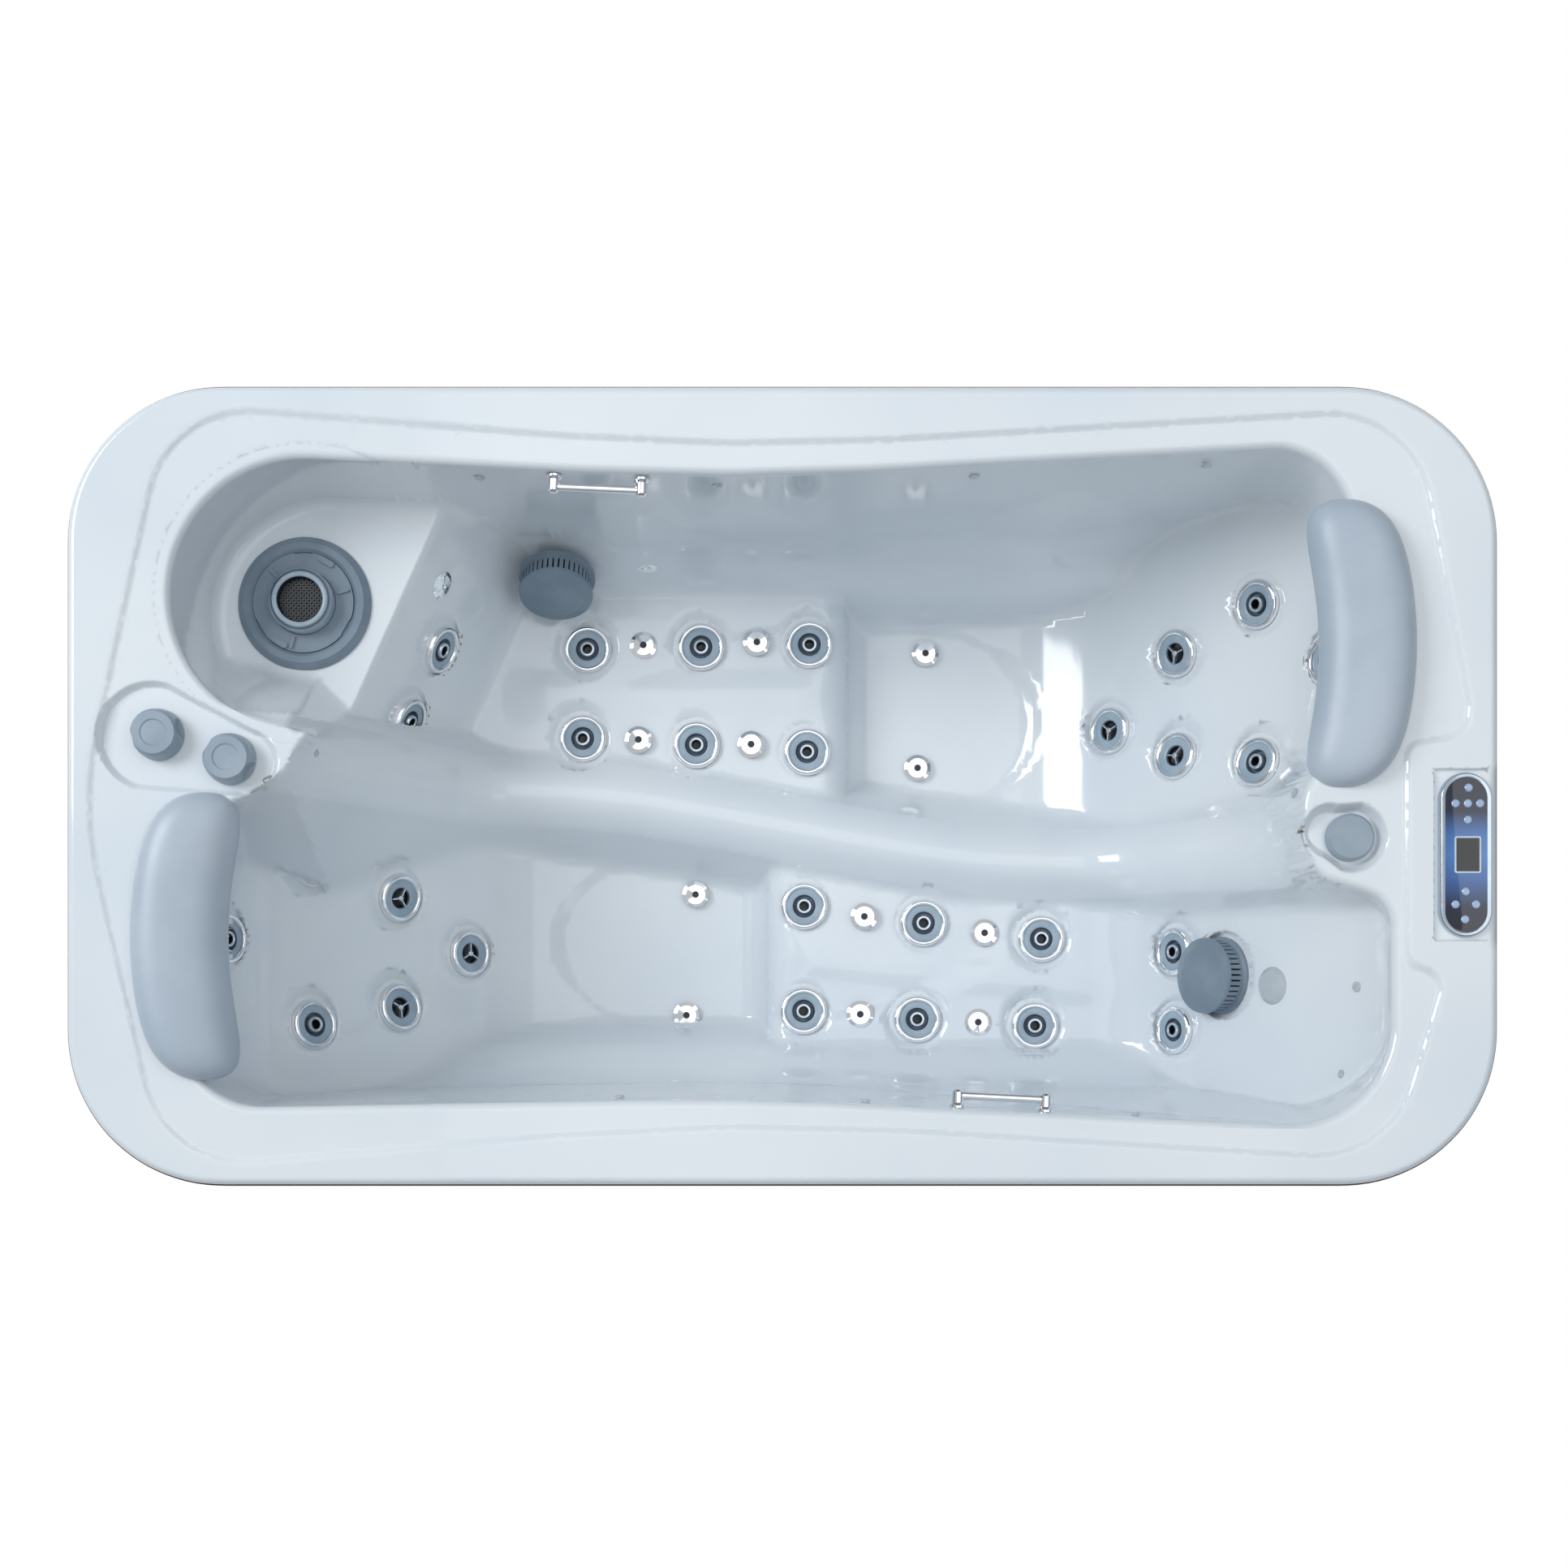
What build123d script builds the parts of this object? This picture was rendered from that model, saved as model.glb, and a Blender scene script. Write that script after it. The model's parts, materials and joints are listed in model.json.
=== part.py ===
from build123d import *
from math import asin, atan2, cos, hypot, pi, radians, sin, sqrt, tan
import os

os.makedirs("parts", exist_ok=True)

# Two-lounger hot tub. The origin is on the floor under the middle of the tub, +X runs along its length
# towards the end with the control panel, +Y runs towards the long side with the filter, +Z is up.

# Overall size of the moulded shell
tub_length = 2100.0
tub_width = 1172.0
tub_height = 760.0
corner_radius = 225.0
shell_wall = 8.0
lip_drop = 48.0
edge_round = 12.0
deck_step = 6.0
bowl_step = 3.0

half_length = tub_length / 2
half_width = tub_width / 2
deck_z = tub_height - deck_step
deck_under = deck_z - shell_wall
far_above = 200.0

# Clearances
seat_gap = 0.2
turn_gap = 0.7
button_gap = 0.4

# Height of each level inside the basin
seat_z = 160.0
leg_z = 250.0
divider_z = 300.0
shelf_z = 560.0
basin_low = 100.0
basin_high = tub_height + 140.0

# Basin outline, measured inwards from the edges of the tub
wall_draft = 2.3
north_deck = 112.0
north_deck_middle = 134.0
north_deck_east = 84.0
south_deck_east = 80.0
south_deck_middle = 127.0
south_deck_west = 112.0
east_deck = 155.0
west_deck = 145.0

# Filter bowl
bowl_x = 347.0 - half_length
bowl_y = half_width - 303.0
bowl_radius = 200.0
bowl_draft = 5.0
bowl_step_radius = 224.0
shelf_slant = 20.0

# Loungers. The north one has its head at the east end, the south one at the west end.
back_start = 480.0
back_angle = 48.0
back_bend_z = 551.0
upper_back_angle = 76.0
upper_back_share = 0.55
neck_share = 0.8
back_curve = 260.0
upper_curve = 150.0
south_back_start = 450.0
south_back_angle = 46.0
south_back_bend_z = 572.0
step_x = 118.0
south_step_x = 33.0
step_lean = 12.0
foot_start = 600.0
foot_angle = 57.0
shoulder_z = 365.0
shoulder_inset = 145.0
toe_inset = 201.0

# Divider between the loungers
divider_half = 24.0
divider_west_y = 62.0
divider_east_y = -80.0

# Jets
jet_radius = 40.5
jet_barrel = 24.0
jet_barrel_length = 45.0
jet_dish_depth = 9.0
jet_dish_radius = 45.0
jet_dish_spread = 60.0
jet_body_flange = 36.0
jet_flange_thick = 3.0
jet_body_tube = 28.0
jet_body_length = 60.0
injector_radius = 23.0
injector_stem = 11.0
suction_stem = 30.0
lens_radius = 30.0
lens_stem = 16.0
led_radius = 8.0
led_stem = 5.0

# Filter
filter_x = bowl_x - 43.0
filter_y = bowl_y + 23.0
collar_radius = 104.0
collar_height = 14.0
canister_radius = 86.0
canister_wall = 4.0
canister_depth = 270.0
lock_ring_radius = 78.0
lock_ring_height = 10.0
weir_radius = 50.0
weir_mesh_radius = 36.0
weir_height = 26.0
weir_travel = 15.0
cartridge_radius = 66.0
cartridge_length = 215.0
pleat_count = 36
pleat_depth = 9.0

# Valve knobs in their tray
tray_depth = 12.0
tray_radius = 80.0
tray_x = 123.0 - half_length
tray_y = 73.0
tray_end_radius = 50.0
tray_end_x = 258.0 - half_length
tray_end_y = 34.0
knob_radius = 38.0
knob_height = 30.0
knob_notch = 34.0
knob_notch_depth = 7.0
knob_stem = 10.0
knob_stem_length = 40.0
valve_radius = 22.0
knob_spots = [(tray_x + 8.0, tray_y + 3.0), (tray_x + 114.0, tray_y - 33.0)]

# Fragrance canister cap beside the east pillow
cap_x = half_length - 213.0
cap_y = -75.0
cap_pocket_radius = 52.0
cap_pocket_depth = 22.0
cap_radius = 35.0
cap_height = 18.0
cap_stem = 24.0

# Control panel
panel_x = half_length - 48.0
panel_y = -102.0
panel_width = 78.0
panel_length = 242.0
panel_thick = 9.0
panel_recess_depth = 7.0
panel_recess_width = 93.0
panel_recess_length = 252.0
display_width = 34.0
display_length = 50.0
button_radius = 6.0
button_height = 5.0
button_proud = 1.6
button_travel = 0.8
button_spots = [
    (3.0, 98.0), (-16.0, 75.0), (2.0, 75.0), (20.0, 75.0), (2.0, 51.0),
    (-1.0, -54.0), (-16.0, -73.0), (14.0, -73.0), (-2.0, -95.0),
]

# Pillows
pillow_half_length = 212.0
pillow_half_width = 70.0
pillow_half_height = 46.0
pillow_bow = 39.0
pillow_tilt = 16.0
pillow_gap = 0.7

# Cabinet
panel_wall = 10.0
lip_clearance = 2.0
tray_floor = 6.0
tray_upstand = 27.0
tray_rim = 3.0
cabinet_top = 740.0
tube_size = 40.0
tube_wall = 3.0
tube_standoff = 4.0
mid_post_x = 280.0
end_rail_drop = 16.0

# Equipment bay at the end with the control panel
pump_x = half_length - 190.0
pump_y = -360.0
pump_z = 116.0
blower_x = 170.0 - half_length
blower_y = -300.0
control_x = half_length - 150.0
control_y = 190.0
heater_z = 76.0
pipe_radius = 24.0
pipe_wall = 3.0
pipe_bend = 30.0
air_pipe_z = 61.0

cabinet_x = half_length - shell_wall - lip_clearance
cabinet_y = half_width - shell_wall - lip_clearance
cabinet_radius = corner_radius - shell_wall - lip_clearance
corner_x = half_length - corner_radius
corner_y = half_width - corner_radius


# Line of the shelf edge, from the deck tip to the north wall
shelf_south = (bowl_x + 3.0, bowl_y - 203.0)
shelf_north = (bowl_x + 180.0, half_width - north_deck)
shelf_run = hypot(shelf_north[0] - shelf_south[0], shelf_north[1] - shelf_south[1])
shelf_along = ((shelf_north[0] - shelf_south[0]) / shelf_run, (shelf_north[1] - shelf_south[1]) / shelf_run)
shelf_out = (shelf_along[1], -shelf_along[0])

basin_outline = [
    (shelf_north, 45.0),
    ((-76.0, half_width - north_deck_middle), 4000.0),
    ((half_length - 238.0, half_width - north_deck_east), 110.0),
    ((half_length - 164.0, 200.0), 260.0),
    ((half_length - 290.0, -20.0), 80.0),
    ((half_length - 268.0, -135.0), 48.0),
    ((half_length - east_deck + 2.0, -168.0), 52.0),
    ((half_length - east_deck + 2.0, south_deck_east - half_width), 150.0),
    ((-60.0, south_deck_middle - half_width), 4000.0),
    ((180.0 - half_length, south_deck_west - half_width), 120.0),
    ((west_deck - half_length, -215.0), 300.0),
    ((230.0 - half_length, -35.0), 60.0),
    ((bowl_x - 37.0, 20.0), 45.0),
    (shelf_south, 45.0),
]

rim_outline = [
    ((22.0 - half_length, -30.0), 500.0),
    ((150.0 - half_length, half_width - 28.0), 150.0),
    ((-76.0, half_width - 93.0), 3500.0),
    ((half_length - 125.0, half_width - 34.0), 150.0),
    ((half_length - 35.0, 75.0), 45.0),
    ((half_length - 135.0, 62.0), 25.0),
    ((half_length - 135.0, -262.0), 30.0),
    ((half_length - 78.0, -280.0), 30.0),
    ((half_length - 160.0, 37.0 - half_width), 150.0),
    ((-76.0, 96.0 - half_width), 3500.0),
    ((145.0 - half_length, 24.0 - half_width), 150.0),
]


def back_profile(start, angle, bend_z, side):
    """Seat, backrest and upper back of one lounger, with its head at +X (side 1) or -X."""
    bend_x = start + (bend_z - seat_z) / tan(radians(angle))
    top_x = bend_x + (basin_high - bend_z) / tan(radians(upper_back_angle)) * upper_back_share
    points = [(side * start, seat_z), (side * bend_x, bend_z), (side * top_x, basin_high)]
    return list(zip(points, [back_curve, upper_curve, 0.0]))


def step_points(x, side):
    """The drop from the leg rest to the seat, met from the leg rest."""
    return [((side * (x - step_lean), leg_z), 40.0), ((side * x, seat_z), 45.0)]


north_profile = (
    [((-half_length, basin_high), 0.0), ((-half_length, leg_z), 0.0)]
    + step_points(step_x, 1)
    + back_profile(back_start, back_angle, back_bend_z, 1)
)
foot_top_x = foot_start + (basin_high - leg_z) / tan(radians(foot_angle))
south_profile = (
    [((foot_top_x, basin_high), 0.0), ((foot_start, leg_z), 120.0)]
    + step_points(south_step_x, -1)
    + back_profile(south_back_start, south_back_angle, south_back_bend_z, -1)
)


def side_profile(side, north):
    """Cross-section of one lounger: the outer wall, the sloping shoulder and the floor under it."""
    wall_y = half_width - (north_deck if north else south_deck_west)
    points = [
        ((side * -half_width, basin_high), 0.0),
        ((side * -half_width, basin_low), 0.0),
        ((side * (half_width - toe_inset - 60.0), basin_low), 0.0),
        ((side * (half_width - toe_inset), leg_z), 60.0),
        ((side * (half_width - shoulder_inset), shoulder_z), 140.0),
        ((side * (wall_y + 40.0), basin_high), 0.0),
    ]
    return points


# Section across the shelf edge: the open bowl above, the slanted foot wall below
foot_wall_run = (shelf_z - leg_z) * tan(radians(shelf_slant))
shelf_profile = [
    ((tub_length, basin_high), 0.0),
    ((-half_length, basin_high), 0.0),
    ((-half_length, shelf_z), 0.0),
    ((0.0, shelf_z), 22.0),
    ((foot_wall_run, leg_z), 0.0),
    ((foot_wall_run + 60.0, basin_low), 0.0),
    ((tub_length, basin_low), 0.0),
]


def prism(plane, outline, reach, grow):
    """A prism on both sides of a plane, its outline moved outwards by grow."""
    points = [point for point, radius in outline]
    radii = [radius for point, radius in outline]
    with BuildPart() as body:
        with BuildSketch(plane):
            with BuildLine():
                FilletPolyline(*points, radius=radii, close=True)
            make_face()
            if grow:
                offset(amount=grow, kind=Kind.INTERSECTION)
        extrude(amount=reach, both=True)
    return body.part


def divider_line(shift):
    """Plan line of the divider, a shallow S, moved sideways by shift."""
    return [
        ((-half_length, divider_west_y + 2.0 + shift), 0.0),
        ((-300.0, divider_west_y - 20.0 + shift), 1500.0),
        ((330.0, divider_east_y + 4.0 + shift), 1500.0),
        ((half_length, divider_east_y - 4.0 + shift), 0.0),
    ]


def lounger_plan(side, grow, low, high, shift):
    """Half of the tub on one side of the divider, between two heights."""
    line = divider_line(side * (shift - grow))
    points = [point for point, radius in line]
    radii = [radius for point, radius in line]
    far = side * half_width
    with BuildPart() as body:
        with BuildSketch(Plane.XY.offset(low)):
            with BuildLine():
                FilletPolyline(*points, radius=radii[1:-1])
                Line(points[-1], (half_length, far))
                Line((half_length, far), (-half_length, far))
                Line((-half_length, far), points[0])
            make_face()
        extrude(amount=high - low)
    return body.part


def divider_profile():
    """Clear space over the divider, which rises to the deck tip in the west and to the foot wall in the east."""
    return [
        ((-half_length, basin_high), 0.0),
        ((shelf_south[0] - 30.0, deck_z), 0.0),
        ((-500.0, divider_z), 120.0),
        ((560.0, divider_z), 150.0),
        ((half_length - 190.0, deck_z), 0.0),
        ((half_length, basin_high), 0.0),
    ]


def basin_space(grow):
    """Everything the water can fill in the two loungers, its faces moved outwards by grow."""
    length_plane = Plane.XZ
    cross_plane = Plane.YZ
    shelf_plane = Plane(
        origin=(shelf_south[0], shelf_south[1], 0.0), x_dir=(shelf_out[0], shelf_out[1], 0.0),
        z_dir=(-shelf_along[0], -shelf_along[1], 0.0),
    )
    points = [point for point, radius in basin_outline]
    radii = [radius for point, radius in basin_outline]
    north = prism(length_plane, north_profile, tub_width, grow)
    north_side = prism(cross_plane, side_profile(1, True), tub_length, grow)
    foot_wall = prism(shelf_plane, shelf_profile, tub_length, grow)
    south = prism(length_plane, south_profile, tub_width, grow)
    south_side = prism(cross_plane, side_profile(-1, False), tub_length, grow)
    over_divider = prism(length_plane, divider_profile(), tub_width, grow)
    with BuildPart() as north_room:
        add(lounger_plan(1, grow, basin_low, basin_high, divider_half))
        add(north, mode=Mode.INTERSECT)
        add(north_side, mode=Mode.INTERSECT)
        add(foot_wall, mode=Mode.INTERSECT)
    with BuildPart() as south_room:
        add(lounger_plan(-1, grow, basin_low, basin_high, divider_half))
        add(south, mode=Mode.INTERSECT)
        add(south_side, mode=Mode.INTERSECT)
    with BuildPart() as strip:
        add(lounger_plan(1, divider_half + 1.0, divider_z - 60.0, basin_high, 0.0))
        add(lounger_plan(-1, divider_half + 1.0, divider_z - 60.0, basin_high, 0.0), mode=Mode.INTERSECT)
        add(over_divider, mode=Mode.INTERSECT)
    with BuildPart() as space:
        with BuildSketch(Plane.XY.offset(tub_height + shell_wall)):
            with BuildLine():
                FilletPolyline(*points, radius=radii, close=True)
            make_face()
            if grow:
                offset(amount=grow)
        extrude(amount=basin_low - tub_height, taper=wall_draft)
        with BuildPart(mode=Mode.PRIVATE) as rooms:
            add(north_room.part)
            add(south_room.part)
            add(strip.part)
        add(rooms.part, mode=Mode.INTERSECT)
    return space.part


def on_north_back(rise):
    """Point on the north backrest at a height, with the slope of the backrest."""
    return back_start + (rise - seat_z) / tan(radians(back_angle))


def on_south_back(rise):
    return -(south_back_start + (rise - seat_z) / tan(radians(south_back_angle)))


def on_upper_back(rise):
    bend_x = back_start + (back_bend_z - seat_z) / tan(radians(back_angle))
    return bend_x + (rise - back_bend_z) / tan(radians(upper_back_angle)) * neck_share


def on_upper_south_back(rise):
    bend_x = south_back_start + (south_back_bend_z - seat_z) / tan(radians(south_back_angle))
    return -(bend_x + (rise - south_back_bend_z) / tan(radians(upper_back_angle)) * neck_share)


def on_foot_wall(along, rise):
    """Point on the slanted wall under the filter shelf."""
    out = (shelf_z - rise) * tan(radians(shelf_slant))
    return (
        shelf_south[0] + shelf_along[0] * along + shelf_out[0] * out,
        shelf_south[1] + shelf_along[1] * along + shelf_out[1] * out,
        rise,
    )


def unit(x, y, z):
    size = sqrt(x * x + y * y + z * z)
    return (x / size, y / size, z / size)


def leaning(angle, side, lean):
    """Normal of a backrest at an angle, leaning sideways towards the middle of the lounger."""
    return unit(-side * sin(radians(angle)), lean, cos(radians(angle)))


up = (0.0, 0.0, 1.0)
slant = radians(90.0 - shelf_slant)
north_foot_normal = unit(shelf_out[0] * sin(slant), shelf_out[1] * sin(slant), cos(slant))
south_foot_normal = unit(-sin(radians(foot_angle)), 0.0, cos(radians(foot_angle)))


def on_south_foot(y, rise):
    return (foot_start + (rise - leg_z) / tan(radians(foot_angle)), y, rise)


# Every jet: name, kind, place on the surface, direction it faces
jets = [
    ("north_leg_1", "nozzle", (-335.0, 292.0, leg_z), up),
    ("north_leg_2", "nozzle", (-140.0, 296.0, leg_z), up),
    ("north_leg_3", "nozzle", (46.0, 300.0, leg_z), up),
    ("north_leg_4", "nozzle", (-343.0, 139.0, leg_z), up),
    ("north_leg_5", "nozzle", (-148.0, 128.0, leg_z), up),
    ("north_leg_6", "nozzle", (42.0, 116.0, leg_z), up),
    ("north_foot_1", "nozzle", on_foot_wall(225.0, 400.0), north_foot_normal),
    ("north_foot_2", "nozzle", on_foot_wall(95.0, 400.0), north_foot_normal),
    ("north_back_1", "spokes", (on_north_back(246.0), 153.0, 246.0), leaning(back_angle, 1, 0.0)),
    ("north_back_2", "spokes", (on_north_back(350.0), 266.0, 350.0), leaning(back_angle, 1, -0.15)),
    ("north_back_3", "spokes", (on_north_back(350.0), 97.0, 350.0), leaning(back_angle, 1, 0.15)),
    ("north_back_4", "nozzle", (on_north_back(470.0), 324.0, 470.0), leaning(back_angle, 1, -0.12)),
    ("north_back_5", "nozzle", (on_north_back(470.0), 72.0, 470.0), leaning(back_angle, 1, 0.12)),
    ("north_neck", "nozzle", (on_upper_back(590.0), 214.0, 590.0), leaning(62.0, 1, 0.0)),
    ("south_leg_1", "nozzle", (37.0, -149.0, leg_z), up),
    ("south_leg_2", "nozzle", (242.0, -178.0, leg_z), up),
    ("south_leg_3", "nozzle", (444.0, -205.0, leg_z), up),
    ("south_leg_4", "nozzle", (36.0, -329.0, leg_z), up),
    ("south_leg_5", "nozzle", (231.0, -343.0, leg_z), up),
    ("south_leg_6", "nozzle", (433.0, -354.0, leg_z), up),
    ("south_foot_1", "nozzle", on_south_foot(-230.0, 330.0), south_foot_normal),
    ("south_foot_2", "nozzle", on_south_foot(-361.0, 330.0), south_foot_normal),
    ("south_back_1", "spokes", (on_south_back(246.0), -230.0, 246.0), leaning(south_back_angle, -1, 0.0)),
    ("south_back_2", "spokes", (on_south_back(350.0), -142.0, 350.0), leaning(south_back_angle, -1, -0.15)),
    ("south_back_3", "spokes", (on_south_back(350.0), -323.0, 350.0), leaning(south_back_angle, -1, 0.15)),
    ("south_back_4", "nozzle", (on_south_back(470.0), -92.0, 470.0), leaning(south_back_angle, -1, -0.12)),
    ("south_back_5", "nozzle", (on_south_back(470.0), -351.0, 470.0), leaning(south_back_angle, -1, 0.12)),
    ("south_neck", "nozzle", (on_upper_south_back(600.0), -219.0, 600.0), leaning(62.0, -1, 0.0)),
]

# Air injectors: place and direction
injectors = [
    ((-238.6, 298.0, leg_z), up), ((-44.0, 303.0, leg_z), up), ((-247.0, 136.0, leg_z), up),
    ((-54.0, 128.0, leg_z), up), ((251.0, 300.0, seat_z), up), ((237.0, 98.5, seat_z), up),
    ((140.0, -167.0, leg_z), up), ((346.0, -195.0, leg_z), up), ((133.0, -334.5, leg_z), up),
    ((335.0, -348.0, leg_z), up), ((-153.0, -124.0, seat_z), up), ((-169.0, -336.0, seat_z), up),
]

# Suction fittings stand on flat pads: middle of the pad and direction
suction_radius = 64.0
suction_drum = 58.0
suction_height = 44.0
suction_pad = 67.0
suction_reach = 56.0
suctions = [
    ((-379.0, half_width - shoulder_inset - 40.0, 318.0), unit(0.0, -0.86, 0.5)),
    ((foot_start + 118.0, -272.0, 412.0), unit(-0.86, 0.0, 0.5)),
]

# Chrome grab handles just under the rim: middle of the handle on the wall, direction out of the wall
handle_length = 142.0
handle_drop = 28.0
handle_bar = 6.0
handle_reach = 17.0
handle_foot = 12.0
handle_post = 8.5
handle_seat = 3.0
handle_stud = 4.0
handle_spots = [(-273.0, 1), (324.0, -1)]

# Main lamp in the foot wall: place and direction
main_light = (on_south_foot(-290.0, 520.0), south_foot_normal)

# Small lamps in the walls: where each line of sight starts and the way it runs
led_z = 695.0
led_lines = [
    ((-454.0, 200.0, led_z), (0.0, 1.0, 0.0)), ((-98.0, 200.0, led_z), (0.0, 1.0, 0.0)),
    ((287.0, 200.0, led_z), (0.0, 1.0, 0.0)), ((635.0, 200.0, led_z), (0.0, 1.0, 0.0)),
    ((-244.0, -200.0, led_z), (0.0, -1.0, 0.0)), ((124.0, -200.0, led_z), (0.0, -1.0, 0.0)),
    ((528.0, -200.0, led_z), (0.0, -1.0, 0.0)),
    ((500.0, -163.0, 664.0), (1.0, 0.0, 0.0)), ((500.0, -294.0, 664.0), (1.0, 0.0, 0.0)),
    ((500.0, -428.0, 640.0), (1.0, 0.0, 0.0)),
    ((-560.0, -22.0, led_z), (-0.87, 0.49, 0.0)), ((600.0, 60.0, led_z), (0.93, -0.36, 0.0)),
]

# Two more chrome fittings, found in the same way
return_lines = [
    ((-228.0, 250.0, 322.0), (0.0, 1.0, 0.0)),
    ((-380.0, 352.0, 480.0), (-1.0, 0.0, 0.0)),
]


def offset_point(point, direction, distance):
    return tuple(p + d * distance for p, d in zip(point, direction))


def axial_plane(origin, normal):
    """Plane that holds the axis: local x runs away from the axis, local y runs along the normal."""
    side = Vector(0, 1, 0) if abs(normal[1]) < 0.8 else Vector(1, 0, 0)
    axis = Vector(*normal)
    across = side.cross(axis).normalized()
    return Plane(origin=origin, x_dir=across, z_dir=across.cross(axis))


def turned(origin, normal, outline):
    """A solid turned about the axis through origin, from an outline of (radius, height) points."""
    with BuildPart() as body:
        with BuildSketch(axial_plane(origin, normal)):
            with BuildLine():
                Polyline(*outline, close=True)
            make_face()
        revolve(axis=Axis(origin, normal))
    return body.part


def jet_seat(place, normal):
    return offset_point(place, normal, -jet_dish_depth)


def shell_bosses():
    """Thickened patches behind the jets and the suction pads."""
    with BuildPart() as bosses:
        for name, kind, place, normal in jets:
            top = jet_dish_depth + shell_wall
            radius = jet_dish_radius + shell_wall
            add(turned(jet_seat(place, normal), normal, [
                (0.0, -shell_wall), (radius, -shell_wall), (radius + 4.0, top), (0.0, top),
            ]))
        for place, normal in suctions:
            top = suction_pad / 2
            add(turned(place, normal, [
                (0.0, -shell_wall), (suction_pad + 4.0, -shell_wall), (suction_pad, top), (0.0, top),
            ]))
        add(turned(main_light[0], main_light[1], [
            (0.0, -shell_wall - 4.0), (lens_radius + 8.0, -shell_wall - 4.0), (lens_radius + 8.0, 0.0), (0.0, 0.0),
        ]))
    return bosses.part


def bowl_room(grow):
    """Round filter bowl over its flat shelf, open towards the north lounger."""
    mouth = [
        (32.0, 194.0), (190.0, 187.0), (235.0, 150.0), (75.0, -235.0), (3.0, -203.0), (-40.0, -100.0), (-40.0, 100.0),
    ]
    with BuildPart() as room:
        with BuildSketch(Plane.XY.offset(tub_height + shell_wall)):
            with Locations((bowl_x, bowl_y)):
                Circle(bowl_radius + grow)
        extrude(amount=shelf_z - grow - tub_height - shell_wall, taper=bowl_draft)
        with BuildSketch(Plane.XY.offset(shelf_z - grow)):
            with BuildLine():
                Polyline(*[(bowl_x + x, bowl_y + y) for x, y in mouth], close=True)
            make_face()
            if grow:
                offset(amount=grow)
        extrude(amount=tub_height + shell_wall - shelf_z + grow)
    return room.part


def pocket_room(grow):
    """Knob tray and the pocket for the fragrance cap."""
    with BuildPart() as room:
        with BuildSketch(Plane.XY.offset(deck_z - tray_depth - grow)):
            with BuildLine():
                top, bottom = tray_tangents(grow)
                Polyline(*top, *bottom, close=True)
            make_face()
            with Locations((tray_x, tray_y)):
                Circle(tray_radius + grow)
            with Locations((tray_end_x, tray_end_y)):
                Circle(tray_end_radius + grow)
        extrude(amount=tray_depth + grow + deck_step + shell_wall)
        with BuildSketch(Plane.XY.offset(deck_z - cap_pocket_depth - grow)):
            with Locations((cap_x, cap_y)):
                Circle(cap_pocket_radius + grow)
        extrude(amount=cap_pocket_depth + grow + deck_step + shell_wall)
    return room.part


def tray_tangents(grow):
    """Outer tangent lines of the two round ends of the knob tray."""
    dx = tray_end_x - tray_x
    dy = tray_end_y - tray_y
    run = hypot(dx, dy)
    heading = atan2(dy, dx)
    spread = pi / 2 - asin((tray_radius - tray_end_radius) / run)
    ends = []
    for turn in (spread, -spread):
        reach = (cos(heading + turn), sin(heading + turn))
        near = (tray_x + reach[0] * (tray_radius + grow), tray_y + reach[1] * (tray_radius + grow))
        far = (tray_end_x + reach[0] * (tray_end_radius + grow), tray_end_y + reach[1] * (tray_end_radius + grow))
        ends.append([near, far])
    return ends[0], ends[1][::-1]


def wall_hit(water, start, direction):
    """Where a line from inside the basin meets its wall, with the direction back into the water."""
    line = Axis(start, direction)
    hits = []
    for point, normal in water.find_intersection_points(line):
        reach = (point - Vector(*start)).dot(Vector(*direction))
        if reach > 0.0:
            hits.append((reach, point, normal))
    reach, point, normal = min(hits, key=lambda hit: hit[0])
    into_water = normal if normal.dot(Vector(*direction)) < 0.0 else normal * -1.0
    return tuple(point), tuple(into_water)


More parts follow.
